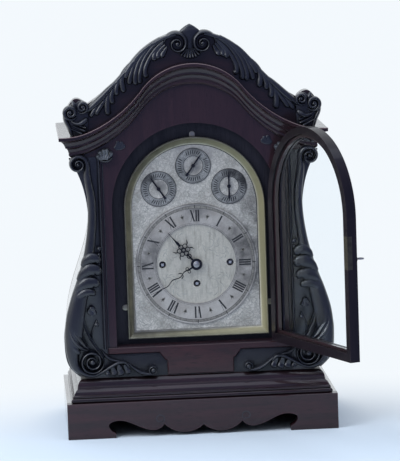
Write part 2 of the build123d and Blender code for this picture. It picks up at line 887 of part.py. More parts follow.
def lug_places():
    """Screw places of the three bezel lugs."""
    reach = bezel_half + lug_reach / 2
    height = bezel_bottom + lug_rise
    return ((0, bezel_spring + reach), (-reach, height), (reach, height))


def make_bezel():
    """The arched brass bezel: a frame that slopes in to the dial, with three screw lugs."""
    outer = slab(arch(bezel_half, bezel_bottom, bezel_spring), bezel_back - bezel_depth, bezel_back)
    wide = bezel_half - bezel_lip
    near = Plane.XZ.offset(-(bezel_back - bezel_depth)) * arch(wide, bezel_bottom + bezel_lip, bezel_spring)
    tight = arch(wide - bezel_slope, bezel_bottom + bezel_lip + bezel_slope, bezel_spring)
    far = Plane.XZ.offset(-(bezel_back - bezel_edge)) * tight
    outer -= loft([near, far], ruled=True)
    outer -= slab(tight, bezel_back - 2 * bezel_edge, bezel_back + 1)
    for x, z in lug_places():
        spin = 90 if x == 0 else 0
        tab = SlotOverall(2 * lug_reach + bezel_lip, 2 * lug_half)
        lug = slab(Pos(x, z) * Rot(0, 0, spin) * tab, bezel_back - lug_thick, bezel_back)
        lug -= slab(arch(bezel_half, bezel_bottom, bezel_spring), bezel_back - lug_thick - 1, bezel_back + 1)
        outer += lug
    for x, z in lug_places():
        outer -= rod(x, z, lug_screw + pivot_fit, bezel_back - lug_thick - 1, bezel_back + 1)
    return outer


def make_lug_screws():
    """The three screws that hold the bezel's lugs."""
    screws = []
    for x, z in lug_places():
        head = bezel_back - lug_thick
        screw = rod(x, z, lug_screw, head, surround_back - 2 * bezel_edge)
        screw += rod(x, z, lug_head, head - lug_head_thick, head)
        slot = block(x - lug_head, x + lug_head, head - 2 * lug_head_thick, head - lug_slot,
                     z - lug_slot / 2, z + lug_slot / 2)
        screws.append(screw - slot)
    return group(screws)


def sub_places():
    """Centres of the left, top and right subsidiary dials."""
    side_x = sub_side_share[0] * chapter_outer
    side_z = dial_height + sub_side_share[1] * chapter_outer
    return ((-side_x, side_z), (0, dial_height + sub_top_share * chapter_outer), (side_x, side_z))


def winding_places():
    """Centres of the strike, going and chime winding squares."""
    return ((-winding_side, side_barrel_height), (0, going_height), (winding_side, side_barrel_height))


def make_dial_plate():
    """The arched dial plate with its holes, and the four feet that stand it off the movement."""
    inset = plate_margin + plate_fit
    half = bezel_half - inset
    face = arch(half, bezel_bottom + inset, bezel_spring)
    face -= Pos(0, dial_height) * Circle(hour_pipe + 1.0)
    for x, z in winding_places():
        face -= Pos(x, z) * Circle(winding_hole)
    for x, z in sub_places():
        face -= Pos(x, z) * Circle(sub_hand_arbor + pivot_fit)
    plate = slab(face, plate_front, plate_back)
    for rise in (-dial_foot_rise, dial_foot_rise):
        x = half - dial_foot_inset
        foot = rod(x, dial_height + rise, dial_foot, plate_back - pinion_lap, front_plate_front)
        plate += foot
        plate += mirror(foot, about=Plane.YZ)
    return plate


def make_chapter_ring():
    """The silvered chapter ring."""
    ring = Circle(chapter_outer) - Circle(chapter_inner)
    return slab(Pos(0, dial_height) * ring, ring_front, plate_front)


def make_subdial_rings():
    """The three subsidiary rings in the arch of the dial."""
    rings = []
    for x, z in sub_places():
        ring = Pos(x, z) * (Circle(sub_outer) - Circle(sub_inner))
        rings.append(slab(ring, plate_front - sub_thick, plate_front))
    return group(rings)


def dial_turn(shape, angle):
    """Turns a hand about the dial's centre, clockwise from the top."""
    return Pos(0, 0, dial_height) * Rot(0, angle, 0) * Pos(0, 0, -dial_height) * shape


def make_minute_hand():
    """The long minute hand: a wavy blade with a round boss."""
    z = dial_height
    neck = z + 0.78 * minute_length
    line = Spline((0, z), (minute_wave, z + 0.28 * minute_length), (-minute_wave, z + 0.52 * minute_length),
                  (0, z + 0.8 * minute_length))
    face = trace(line, line_width=minute_blade)
    tip = ((-0.75 * minute_blade, neck), (0.75 * minute_blade, neck), (0, z + minute_length))
    face += make_face(Polyline(*tip, close=True))
    face += Pos(0, z) * Circle(hand_boss)
    face -= Pos(0, z) * Circle(cannon_pipe + pivot_fit)
    return dial_turn(slab(face, minute_back - hand_thick, minute_back), minute_angle)


def make_hour_hand():
    """The pierced hour hand: a stem, a crossed head with two holes and a point."""
    z = dial_height
    unit = hour_length / 68
    stem = Pos(0, z + 0.25 * hour_length) * Rectangle(4 * unit, 0.5 * hour_length)
    head = Pos(0, z + 0.55 * hour_length) * Ellipse(7.5 * unit, 11 * unit)
    wings = Pos(0, z + 0.66 * hour_length) * Ellipse(11 * unit, 4 * unit)
    neck = z + 0.6 * hour_length
    point = make_face(Polyline((-4 * unit, neck), (4 * unit, neck), (0, z + hour_length), close=True))
    face = stem + head + wings + point + Pos(0, z) * Circle(1.1 * hand_boss)
    for side in (-1, 1):
        face -= Pos(3.4 * unit * side, z + 0.53 * hour_length) * Ellipse(1.9 * unit, 5 * unit)
    face -= Pos(0, z) * Circle(hour_pipe + pivot_fit)
    return dial_turn(slab(face, hour_back - hand_thick, hour_back), hour_angle)


def make_sub_hands():
    """The three double-ended pointers of the subsidiary dials, each on its arbor."""
    hands = []
    front = plate_front - sub_thick - sub_hand_gap
    tip = sub_hand_length
    wide = 0.6 * sub_hand_boss
    right = ((0.78 * wide, 0.6 * tip), (0.5 * wide, 0), (wide, -0.8 * tip))
    left = [(-x, z) for x, z in reversed(right)]
    for (x, z), angle in zip(sub_places(), sub_hand_angles):
        face = make_face(Polyline((0, tip), *right, *left, close=True)) + Circle(sub_hand_boss)
        hand = slab(Pos(x, z) * Rot(0, 0, -angle) * face, front - hand_thick, front)
        hands.append(hand + rod(x, z, sub_hand_arbor, front - hand_thick, plate_back + sub_arbor_tail))
    return hands


def make_plates():
    """The front and back movement plates with their pivot holes and the minute wheel's stud."""
    outline = Pos(0, (plate_foot + plate_top) / 2) * Rectangle(2 * plate_half, plate_top - plate_foot)
    for x, z in winding_places():
        outline -= Pos(x, z) * Circle(arbor_radius + pivot_fit)
    outline -= Pos(0, dial_height) * Circle(centre_arbor + pivot_fit)
    for x, z in ((-third_lean, third_height), (0, escape_height), (0, pallet_height)):
        outline -= Pos(x, z) * Circle(thin_arbor + pivot_fit)
    for x, z in pillar_places():
        outline -= Pos(x, z) * Circle(pillar_screw + pivot_fit)
    front = slab(outline, front_plate_front, front_plate_back)
    x, z = minute_wheel_place
    front += rod(x, z, minute_stud, hour_plane - stud_tail, front_plate_front + movement_plate / 2)
    return front, slab(outline, back_plate_front, back_plate_back)


def pillar_places():
    """Centres of the four corner pillars and the one at the top."""
    x = plate_half - pillar_inset
    low = plate_foot + pillar_inset
    high = plate_top - pillar_inset
    return ((-x, low), (x, low), (-x, high), (x, high), (-x / 2, high))


def make_pillars():
    """The turned pillars between the plates, and their screws."""
    solids = []
    middle = (front_plate_back + back_plate_front) / 2
    bore = pillar_screw_length + 1
    head = 2 * pillar_screw
    for x, z in pillar_places():
        pillar = rod(x, z, pillar_radius, front_plate_back, back_plate_front)
        collar = pillar_radius + pillar_collar
        pillar += rod(x, z, collar, middle - pillar_collar_half, middle + pillar_collar_half)
        pillar -= rod(x, z, pillar_screw, front_plate_back - 1, front_plate_back + bore)
        pillar -= rod(x, z, pillar_screw, back_plate_front - bore, back_plate_front + 1)
        solids.append(pillar)
        front = rod(x, z, pillar_screw, front_plate_front, front_plate_back + pillar_screw_length)
        solids.append(front + rod(x, z, head, front_plate_front - pillar_head, front_plate_front))
        back = rod(x, z, pillar_screw, back_plate_front - pillar_screw_length, back_plate_back)
        solids.append(back + rod(x, z, head, back_plate_back, back_plate_back + pillar_head))
    return group(solids)


def make_seat():
    """The seat board under the movement and the two bearers that carry it on the floor."""
    front = surround_back + seat_gap
    back = back_plate_back + seat_overhang
    under = plate_foot - seat_thick
    board = block(-seat_half, seat_half, front, back, under, plate_foot)
    bearer = block(bearer_place - bearer_half, bearer_place + bearer_half, front, back, floor_top, under)
    return group([board, bearer, mirror(bearer, about=Plane.YZ)])


def make_barrel(place, angle):
    """A spring barrel: the drum with its great wheel, the cover and the coiled mainspring."""
    x, z = place
    drum = rod(x, z, drum_radius, drum_front, great_front)
    great = gear(great_teeth, great_module, place, angle, wheel_tooth)
    drum += slab(great, great_front, great_front + great_thick)
    drum -= rod(x, z, drum_radius - drum_wall, drum_front - 1, great_front - drum_wall)
    drum -= rod(x, z, arbor_radius + pivot_fit, drum_front - 1, great_front + great_thick + 1)
    cover = Circle(drum_radius - drum_wall) - Circle(arbor_radius + pivot_fit)
    cap = slab(Pos(x, z) * cover, drum_front, drum_front + drum_wall)
    pitch = (drum_radius - drum_wall - spring_hub - spring_thick) / spring_turns
    edges = []
    for half in range(2 * spring_turns):
        side = 1 if half % 2 == 0 else -1
        radius = spring_hub + half * pitch / 2 + pitch / 4
        middle = pitch / 4 * side
        for size in (radius, radius + spring_thick):
            reach = size * side
            edges.append(ThreePointArc((middle - reach, 0), (middle, reach), (middle + reach, 0)))
    inner = edges[0] @ 0
    outer = edges[-2] @ 1
    edges.append(Line(inner, inner + Vector(-spring_thick, 0)))
    edges.append(Line(outer, outer + Vector(-spring_thick, 0)))
    gap = drum_wall + spring_gap
    coil = slab(Pos(x, z) * make_face(edges), drum_front + gap, great_front - gap)
    return group([drum, cap, coil])


def make_winding_arbor(place):
    """A barrel arbor with its winding square at the dial, and the ratchet wheel on it."""
    x, z = place
    square_front = plate_front - square_stand
    arbor = rod(x, z, arbor_radius, square_front + square_length, back_plate_back)
    arbor += slab(Pos(x, z) * Rectangle(square_side, square_side), square_front, square_front + square_length)
    points = []
    for tooth in range(ratchet_teeth):
        start = 2 * pi * tooth / ratchet_teeth
        for reach, lag in ((ratchet_radius, 0), (ratchet_radius - ratchet_tooth, 0.12 * pi / ratchet_teeth)):
            points.append((x + reach * cos(start + lag), z + reach * sin(start + lag)))
    wheel = make_face(Polyline(*points, close=True)) - Pos(x, z) * Circle(arbor_radius)
    ratchet_back = front_plate_front - ratchet_gap
    return group([arbor, slab(wheel, ratchet_back - ratchet_thick, ratchet_back)])


def make_centre_wheel():
    """The centre arbor with its pinion and wheel. Its front end carries the hands."""
    place = (0, dial_height)
    start = toward(place, (0, going_height)) + pi / centre_leaves
    pinion = gear(centre_leaves, great_module, place, start, leaf_tooth)
    third = (-third_lean, third_height)
    wheel = gear(centre_teeth, centre_module, place, toward(place, third), wheel_tooth)
    wheel -= crossings(place, centre_teeth * centre_module / 2 - wheel_rim, wheel_hub, 3)
    body = rod(*place, centre_arbor, minute_back - hand_thick - collet_thick, back_plate_back)
    body += slab(pinion, great_front - pinion_lap, great_front + great_thick + pinion_lap)
    return body + slab(wheel, centre_plane, centre_plane + wheel_thick)


def make_third_wheel():
    """The third arbor with its pinion and wheel."""
    place = (-third_lean, third_height)
    centre = (0, dial_height)
    pinion = gear(third_leaves, centre_module, place, toward(place, centre) + pi / third_leaves, leaf_tooth)
    wheel = gear(third_teeth, third_module, place, toward(place, (0, escape_height)), wheel_tooth)
    wheel -= crossings(place, third_teeth * third_module / 2 - wheel_rim, wheel_hub, 3)
    body = rod(*place, thin_arbor, front_plate_front + arbor_shake, back_plate_back - arbor_shake)
    body += slab(pinion, centre_plane - pinion_lap, centre_plane + wheel_thick + pinion_lap)
    return body + slab(wheel, third_plane, third_plane + wheel_thick)


def make_escape_wheel():
    """The escape arbor with its pinion and the pointed escape wheel."""
    place = (0, escape_height)
    third = (-third_lean, third_height)
    pinion = gear(escape_leaves, third_module, place, toward(place, third) + pi / escape_leaves, leaf_tooth)
    points = []
    for tooth in range(escape_teeth):
        start = pi / 2 + 2 * pi * tooth / escape_teeth
        root = escape_radius - escape_tooth
        for reach, lag in ((escape_radius, 0), (root, 0.16), (root, 0.8)):
            angle = start + lag * 2 * pi / escape_teeth
            points.append((place[0] + reach * cos(angle), place[1] + reach * sin(angle)))
    rim = escape_radius - 1.8 * escape_tooth
    wheel = make_face(Polyline(*points, close=True)) - crossings(place, rim, wheel_hub, 2)
    body = rod(*place, thin_arbor, front_plate_front + arbor_shake, back_plate_back - arbor_shake)
    body += slab(pinion, third_plane - pinion_lap, third_plane + wheel_thick + pinion_lap)
    return body + slab(wheel, escape_plane, escape_plane + wheel_thick)


def make_pallets():
    """The anchor on its arbor, and the crutch behind the back plate."""
    z = pallet_height
    unit = escape_radius / 15
    reach = (escape_radius + pallet_clear) * sin(pi / 4)
    tip = escape_height + reach
    right = [(0, z + 4 * unit), (9 * unit, z + 2 * unit), (reach + 4.5 * unit, z - 5.5 * unit),
             (reach + 0.7 * unit, tip - 0.3 * unit), (reach - 0.3 * unit, tip + 0.8 * unit),
             (reach + 1.4 * unit, z - 5 * unit), (7 * unit, z - 2 * unit), (0, z - 4 * unit)]
    left = [(-x, height) for x, height in reversed(right[1:-1])]
    anchor = make_face(Polyline(*right, *left, close=True))
    body = slab(anchor, escape_plane - pallet_lap, escape_plane + wheel_thick + pallet_lap)
    front = back_plate_back + crutch_gap
    back = front + crutch_thick
    body += rod(0, z, thin_arbor, front_plate_front + arbor_shake, back)
    body += rod(0, z, crutch_width, front, back)
    body += block(-crutch_width / 2, crutch_width / 2, front, back, z - crutch_length, z)
    pin_back = pendulum_depth - rod_radius - crutch_fit
    return body + rod(0, z - crutch_length + crutch_thick, crutch_pin, front, pin_back)


def make_pendulum():
    """The pendulum: a rod with its eye, the bob and the rating nut."""
    z = pallet_height
    nut_top = bob_height - bob_radius
    nut_foot = nut_top - nut_thick
    stem_foot = nut_foot - rod_tail
    place = Pos(0, pendulum_depth, 0)
    stem = place * extrude(Plane.XY.offset(stem_foot) * Circle(rod_radius), z - rod_tail - stem_foot)
    eye = rod(0, z, rod_eye, pendulum_depth - rod_eye / 2, pendulum_depth + rod_eye / 2)
    hole = rod(0, z, rod_radius + pivot_fit, pendulum_depth - rod_eye, pendulum_depth + rod_eye)
    stem = stem + eye - hole
    bob = rod(0, bob_height, bob_radius, pendulum_depth - bob_thick / 2, pendulum_depth + bob_thick / 2)
    bob = fillet(bob.edges().filter_by(GeomType.CIRCLE), bob_thick / 3)
    bore = place * extrude(Plane.XY * Circle(rod_radius + pivot_fit), z)
    nut = place * extrude(Plane.XY.offset(nut_foot) * Circle(nut_radius), nut_thick)
    return group([stem, bob - bore, nut - bore])


def make_back_cock():
    """The bridge on the back plate with the stud that the pendulum hangs on."""
    z = pallet_height
    deep = pendulum_depth + cock_gap
    low = z - cock_height / 2
    high = z + cock_height / 2
    body = block(-cock_half, cock_half, deep, deep + cock_thick, low, high)
    for side in (-1, 1):
        body += block(side * cock_half, side * (cock_half - cock_leg), back_plate_back, deep, low, high)
    return body + rod(0, z, rod_radius, pendulum_depth - rod_eye, deep)


def make_motion_work():
    """The cannon pinion, the minute wheel with its pinion, and the hour wheel with its pipe."""
    place = (0, dial_height)
    post = minute_wheel_place
    cannon_face = gear(cannon_teeth, cannon_module, place, toward(place, post), wheel_tooth)
    cannon = slab(cannon_face, cannon_plane, cannon_plane + wheel_thick)
    cannon += rod(*place, cannon_pipe, minute_back - hand_thick, cannon_plane)
    cannon -= rod(*place, centre_arbor + pivot_fit, minute_back - 2 * hand_thick, front_plate_front)
    back = toward(post, place)
    wheel_face = gear(cannon_teeth, cannon_module, post, back + pi / cannon_teeth, wheel_tooth)
    wheel = slab(wheel_face, cannon_plane, cannon_plane + wheel_thick)
    pinion = gear(minute_leaves, hour_module, post, back + pi / minute_leaves, leaf_tooth)
    wheel += slab(pinion, hour_plane - pinion_lap, cannon_plane)
    wheel -= rod(*post, minute_stud + pivot_fit, hour_plane - stud_tail, front_plate_front)
    hour_face = gear(hour_teeth, hour_module, place, toward(place, post), wheel_tooth)
    hour = slab(hour_face, hour_plane, hour_plane + wheel_thick)
    hour += rod(*place, hour_pipe, hour_back - hand_thick, hour_plane)
    hour -= rod(*place, cannon_pipe + pivot_fit, hour_back - 2 * hand_thick, cannon_plane)
    return cannon, wheel, hour


def make_hand_collet():
    """The round collet that keeps the minute hand on."""
    ring = Circle(collet_radius) - Circle(centre_arbor + pivot_fit)
    front = minute_back - hand_thick - collet_thick
    return slab(Pos(0, dial_height) * ring, front, front + collet_thick)


def bell_bore(radius, start, length):
    """A round rod along X at the bells' height."""
    y = back_plate_back + bell_post_half / 2
    return extrude(Plane.YZ.offset(start) * Pos(y, bell_height) * Circle(radius), length)


def make_bells():
    """The nest of bells over the movement, largest at the left, and their rod on two posts."""
    y = back_plate_back + bell_post_half / 2
    bells = []
    for number in range(bell_count):
        radius = bell_large - number * bell_step
        edge = (number - bell_count / 2) * bell_pitch
        bell = Pos(edge + radius, y, bell_height) * (Sphere(radius) - Sphere(radius - bell_wall))
        bell &= Pos(edge, y, bell_height) * Box(2 * bell_share * radius, 4 * radius, 4 * radius)
        bells.append(bell - bell_bore(bell_rod + pivot_fit, edge - bell_wall, radius))
    end = bell_post + 2 * bell_post_half
    stand = [bell_bore(bell_rod, -end, 2 * end)]
    for side in (-1, 1):
        x = side * bell_post
        post = block(x - bell_post_half, x + bell_post_half,
                     back_plate_back, back_plate_back + bell_post_half,
                     plate_top - bell_post_lap, bell_height + bell_post_head)
        post -= bell_bore(bell_rod + pivot_fit, x - 2 * bell_post_half, 4 * bell_post_half)
        for screw_x, z in pillar_places():
            clear = 2 * pillar_screw + pivot_fit
            post -= rod(screw_x, z, clear, back_plate_back - 1, back_plate_back + 2 * bell_post_half)
        stand.append(post)
    return group(bells), group(stand)


def hinge(middle):
    """One butt hinge at the axis: the door's leaf, the case's leaf and the pin."""
    third = hinge_height / 3
    low = middle - hinge_height / 2
    knuckles = []
    for part in range(3):
        start = low + part * third + hinge_slack / 2
        barrel = Cylinder(knuckle_radius, third - hinge_slack) - Cylinder(pin_radius + hinge_fit, third)
        knuckles.append(Pos(0, 0, start + (third - hinge_slack) / 2) * barrel)
    gap = door_gap / 2
    back = knuckle_stand + hinge_reach
    hole = Pos(0, 0, middle) * Cylinder(pin_radius + hinge_fit, 2 * hinge_height)
    clear = Pos(0, 0, middle) * Cylinder(knuckle_radius + hinge_slack, third + hinge_slack)
    door_leaf = block(-gap - hinge_leaf, -gap, 0, back, low, low + hinge_height)
    for part in (0, 2):
        room = Cylinder(knuckle_radius + hinge_slack, third + hinge_slack)
        door_leaf -= Pos(0, 0, low + (part + 0.5) * third) * room
    door_leaf = door_leaf + knuckles[1] - hole
    case_leaf = block(gap, gap + hinge_leaf, 0, back, low, low + hinge_height) - clear
    case_leaf = case_leaf + knuckles[0] + knuckles[2] - hole
    pin = Pos(0, 0, middle) * Cylinder(pin_radius, hinge_height)
    return door_leaf, case_leaf, pin


def open_door(shape):
    """Swings a piece of the closed front door to where the door rests open."""
    return Pos(hinge_x, hinge_y, 0) * Rot(0, 0, door_open) * Pos(-hinge_x, -hinge_y, 0) * shape


def make_hinges():
    """The hinge leaves of the front door, the back door and the case, with their pins."""
    front_door = []
    back_door = []
    case = []
    for middle in front_hinges:
        place = Pos(hinge_x, hinge_y, 0)
        leaf_door, leaf_case, pin = hinge(middle)
        front_door.append(open_door(place * leaf_door))
        case += [place * leaf_case, place * pin]
    for middle in back_hinges:
        place = Pos(back_hinge_x, back_hinge_y, 0) * Rot(0, 0, 180)
        leaf_door, leaf_case, pin = hinge(middle)
        back_door.append(place * leaf_door)
        case += [place * leaf_case, place * pin]
    return front_door, back_door, case


def lock_place():
    """Left side, front, middle height and key place of the lock in the closed door."""
    left = -door_half
    return left, door_back - lock_depth, left + lock_width / 2, lock_middle - key_drop


def make_door_frame():
    """The door's two stiles, arched head and bottom rail, rebated for the glass."""
    lip_back = body_front + glass_lip
    inner = door_half - door_member
    rail_top = door_bottom + door_rail_height
    whole = slab(arch(door_half, door_bottom, opening_spring), body_front, door_back)
    whole -= slab(arch(inner, rail_top, opening_spring), body_front - 1, door_back + 1)
    whole -= slab(arch(inner + rebate, rail_top - rebate, opening_spring), lip_back, door_back + 1)
    for middle in front_hinges:
        seat = (door_half - hinge_leaf, door_half + 1)
        whole -= hinge_leaf_box(*seat, middle, body_front - 1, body_front + hinge_reach)
    left, front, key_x, key_z = lock_place()
    low = lock_middle - lock_height / 2
    whole -= block(left - 1, left + lock_width, front, door_back + 1, low, low + lock_height)
    whole -= rod(key_x, key_z, key_shank + key_fit, body_front - 1, front + 1)
    depth = (body_front - door_thick, door_back + door_thick)
    head = whole & block(-door_half, door_half, *depth, opening_spring, opening_spring + 2 * door_half)
    rail = whole & block(-inner, inner, *depth, door_bottom, rail_top)
    right = whole & block(inner, door_half, *depth, door_bottom, opening_spring)
    free = whole & block(-door_half, -inner, *depth, door_bottom, opening_spring)
    return group([open_door(right), open_door(free)]), open_door(head), open_door(rail)


def make_door_glass():
    """The glass and the bead that holds it in the rebate."""
    lip_back = body_front + glass_lip
    inner = door_half - door_member
    rail_top = door_bottom + door_rail_height
    reach = rebate - glass_fit
    glass_front = lip_back + glass_bed
    bead_front = glass_front + glass_thick + glass_bed
    pane = slab(arch(inner + reach, rail_top - reach, opening_spring), glass_front, glass_front + glass_thick)
    bead = slab(arch(inner + reach, rail_top - reach, opening_spring), bead_front, bead_front + bead_depth)
    bead -= slab(arch(inner, rail_top, opening_spring), bead_front - 1, bead_front + bead_depth + 1)
    return open_door(pane), open_door(bead)


def make_lock():
    """The brass cut lock, its bolt, the keyhole plate and the key."""
    left, front, key_x, key_z = lock_place()
    low = lock_middle - lock_height / 2
    wall = lock_wall
    case = block(left, left + lock_width, front, door_back, low, low + lock_height)
    case -= block(left + wall, left + lock_width - wall, front + wall, door_back - wall,
                  low + wall, low + lock_height - wall)
    bolt_y = front + lock_depth / 2
    bolt_low = lock_middle + bolt_rise - bolt_height / 2
    slot = bolt_fit
    case -= block(left - 1, left + 1.1 * wall, bolt_y - bolt_thick / 2 - slot, bolt_y + bolt_thick / 2 + slot,
                  bolt_low - slot, bolt_low + bolt_height + slot)
    case -= rod(key_x, key_z, key_shank + key_fit, front - 1, front + 1.1 * wall)
    bolt = block(left + bolt_fit, left + lock_width - wall - bolt_fit, bolt_y - bolt_thick / 2,
                 bolt_y + bolt_thick / 2, bolt_low, bolt_low + bolt_height)
    plate = Circle(escutcheon_radius) - Circle(key_shank + key_fit)
    escutcheon = slab(Pos(key_x, key_z) * plate, body_front - escutcheon_thick, body_front)
    bow_y = body_front - key_stand + key_bow
    key = rod(key_x, key_z, key_shank, bow_y + key_bow - key_bow_wire, door_back - 2 * wall)
    ring = Circle(key_bow) - Circle(key_bow - key_bow_wire)
    bow = Pos(key_x, bow_y, key_z) * extrude(ring, key_bow_wire / 2, both=True)
    bit = block(key_x - key_bit_thick / 2, key_x + key_bit_thick / 2, bolt_y - key_bit_width / 2,
                bolt_y + key_bit_width / 2, key_z - key_bit, key_z)
    return [open_door(piece) for piece in (case, bolt, escutcheon, key + bow + bit)]


def make_back_door(leaves):
    """The back door: a fielded board with its knob and hinge leaves."""
    half = back_half - door_gap
    low = back_bottom + door_gap
    high = back_top - door_gap
    board = block(-half, half, body_back - back_door_thick, body_back, low, high)
    field = block(-half + back_field, half - back_field, body_back - back_field_depth, body_back + 1,
                  low + back_field, high - back_field)
    board -= field
    for middle in back_hinges:
        seat = (-half - 1, -half + hinge_leaf)
        board -= hinge_leaf_box(*seat, middle, body_back - hinge_reach, body_back + 1)
    knob_x = half - back_field / 2
    knob_z = (low + high) / 2
    knob = rod(knob_x, knob_z, knob_radius / 2, body_back, body_back + knob_length)
    knob += rod(knob_x, knob_z, knob_radius, body_back + knob_length / 2, body_back + knob_length)
    return group([board, knob] + leaves)


plinth_front, plinth_returns = make_plinth()
front_leaves, back_leaves, case_leaves = make_hinges()
door_stiles, door_head, door_rail = make_door_frame()
door_glass, glazing_bead = make_door_glass()
lock_case, lock_bolt, keyhole_plate, door_key = make_lock()
front_plate, back_plate = make_plates()
cannon_pinion, minute_wheel, hour_wheel = make_motion_work()
bells, bell_stand = make_bells()
chime_hand, rate_hand, strike_hand = make_sub_hands()
strike_place, going_place, chime_place = winding_places()
going_angle = toward(going_place, (0, dial_height))

parts = {
    "plinth_front": plinth_front,
    "plinth_returns": plinth_returns,
    "base_mouldings": make_base_mouldings(),
    "case_floor": make_case_floor(),
    "front_frame": make_front_frame(),
    "case_sides": make_case_sides(),
    "back_frame": make_back_frame(),
    "roof": make_roof(),
    "pediment_board": make_pediment(),
    "cornice": make_cornice(),
    "crest_centre": make_crest_centre(),
    "crest_leaves": make_crest_leaves(),
    "crest_ears": make_crest_ears(),
    "consoles": make_consoles(),
    "toe_scrolls": make_toe_scrolls(),
    "rail_panel": make_rail_panel(),
    "case_hinges": group(case_leaves),
    "dial_surround": make_dial_surround(),
    "dial_bezel": make_bezel(),
    "lug_screws": make_lug_screws(),
    "dial_plate": make_dial_plate(),
    "chapter_ring": make_chapter_ring(),
    "subdial_rings": make_subdial_rings(),
    "front_plate": front_plate,
    "back_plate": back_plate,
    "pillars": make_pillars(),
    "seat_board": make_seat(),
    "back_cock": make_back_cock(),
    "bells": bells,
    "bell_stand": bell_stand,
    "door_stiles": door_stiles,
    "door_head": door_head,
    "door_rail": door_rail,
    "door_glass": door_glass,
    "glazing_bead": glazing_bead,
    "door_hinge_leaves": group(front_leaves),
    "lock_case": lock_case,
    "keyhole_plate": keyhole_plate,
    "lock_bolt": lock_bolt,
    "door_key": door_key,
    "back_door": make_back_door(back_leaves),
    "minute_hand": group([make_minute_hand(), make_hand_collet()]),
    "cannon_pinion": cannon_pinion,
    "minute_wheel": minute_wheel,
    "hour_wheel": hour_wheel,
    "hour_hand": make_hour_hand(),
    "chime_hand": chime_hand,
    "rate_hand": rate_hand,
    "strike_hand": strike_hand,
    "going_barrel": make_barrel(going_place, going_angle),
    "strike_barrel": make_barrel(strike_place, 0),
    "chime_barrel": make_barrel(chime_place, 0),
    "going_arbor": make_winding_arbor(going_place),
    "strike_arbor": make_winding_arbor(strike_place),
    "chime_arbor": make_winding_arbor(chime_place),
    "centre_wheel": make_centre_wheel(),
    "third_wheel": make_third_wheel(),
    "escape_wheel": make_escape_wheel(),
    "pallets": make_pallets(),
    "pendulum": make_pendulum(),
}

os.makedirs("parts", exist_ok=True)
for name, shape in parts.items():
    export_step(shape, f"parts/{name}.step")
print(len(parts), "nodes")
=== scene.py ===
# %% [markdown]
# A carved table clock, dressed in Blender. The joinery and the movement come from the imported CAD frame.
# The carving, the mouldings, the dial's engraving and the hands are made here as surfaces, with numpy.
# Lengths are in millimetres until a mesh is made, X is to the right, Y to the back and Z up.

# %% Frame
import math

import bmesh
import bpy
import numpy as np
from mathutils import Matrix, Vector


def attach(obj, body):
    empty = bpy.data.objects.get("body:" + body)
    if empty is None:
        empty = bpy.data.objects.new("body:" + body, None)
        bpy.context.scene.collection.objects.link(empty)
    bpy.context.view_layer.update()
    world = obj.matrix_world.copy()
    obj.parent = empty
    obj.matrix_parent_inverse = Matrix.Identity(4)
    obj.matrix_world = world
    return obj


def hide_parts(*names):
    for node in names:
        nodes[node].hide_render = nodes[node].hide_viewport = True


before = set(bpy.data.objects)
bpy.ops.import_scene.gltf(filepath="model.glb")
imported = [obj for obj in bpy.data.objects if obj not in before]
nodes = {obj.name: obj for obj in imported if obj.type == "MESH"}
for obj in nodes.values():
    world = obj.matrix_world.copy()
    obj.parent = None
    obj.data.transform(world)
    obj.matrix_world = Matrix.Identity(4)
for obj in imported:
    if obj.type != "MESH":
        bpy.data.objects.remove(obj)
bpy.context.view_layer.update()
slot_of = {name: node.data.materials[0].name for name, node in nodes.items()}
MM = 0.001
CASE_FACE = -243.0

# %% [markdown]
# Every carved piece is a set of closed shells. A loft joins closed sections, row by row, into one shell.
# Sculpting by hand would be the other way, but a formula keeps each leaf editable and repeats exactly.

# %% Shells and pieces
def wrapped(grid):
    """Rows of a grid are closed sections: quads join neighbouring rows, and the last row to the first."""
    rows, columns = grid.shape[:2]
    i = np.arange(rows)[:, None] * columns
    n = (i + columns) % (rows * columns)
    j = np.arange(columns)[None, :]
    k = (j + 1) % columns
    return grid.reshape(-1, 3), np.stack([i + j, i + k, n + k, n + j], -1).reshape(-1, 4).tolist()


def loft(grid):
    """As wrapped, but the last row isn't joined to the first: both are capped."""
    rows, columns = grid.shape[:2]
    points, quads = wrapped(grid)
    end = np.arange(columns)
    return points, quads[:-columns] + [end[::-1].tolist(), (end + (rows - 1) * columns).tolist()]


def mirrored(shells):
    """The shells and their images in the middle plane, where X changes sign."""
    return shells + [(points * (-1, 1, 1), faces) for points, faces in shells]


def piece(name, shells, body, finish, stands_for=(), crease=35):
    """One object from closed shells: points stacked in metres, face numbers shifted, normals outwards."""
    starts = np.cumsum([0] + [len(points) for points, _ in shells])
    faces = [[n + start for n in face] for (_, shell), start in zip(shells, starts) for face in shell]
    mesh = bpy.data.meshes.new(name)
    mesh.from_pydata(np.vstack([points for points, _ in shells]) * MM, [], faces)
    turned = bmesh.new()
    turned.from_mesh(mesh)
    bmesh.ops.recalc_face_normals(turned, faces=turned.faces)
    turned.to_mesh(mesh)
    turned.free()
    mesh.shade_smooth()
    mesh.set_sharp_from_angle(angle=math.radians(crease))
    mesh.materials.append(finish)
    made = bpy.data.objects.new(name, mesh)
    bpy.context.scene.collection.objects.link(made)
    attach(made, body)
    if stands_for:
        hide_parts(*stands_for)
    print(name, len(shells), "shells,", len(mesh.polygons), "faces")
    return made


# %% [markdown]
# Wood, metal and wax are mixed from noise that runs along the piece. The figure of the wood, the wear of
# its edges and the darkening of its hollows, old polish and painted shade, are used by several finishes, so
# each is a node group that puts out masks only.

# %% Node helpers
def feed(tree, node, values):
    """Sets the inputs named or numbered in values; a socket given as a value is linked instead."""
    for key, value in values.items():
        if isinstance(value, bpy.types.NodeSocket):
            tree.links.new(value, node.inputs[key])
        else:
            node.inputs[key].default_value = value


def add_node(tree, kind, values=None, **settings):
    """A node with its settings, and with its inputs fed from values."""
    node = tree.nodes.new(kind)
    for key, value in settings.items():
        setattr(node, key, value)
    feed(tree, node, values or {})
    return node


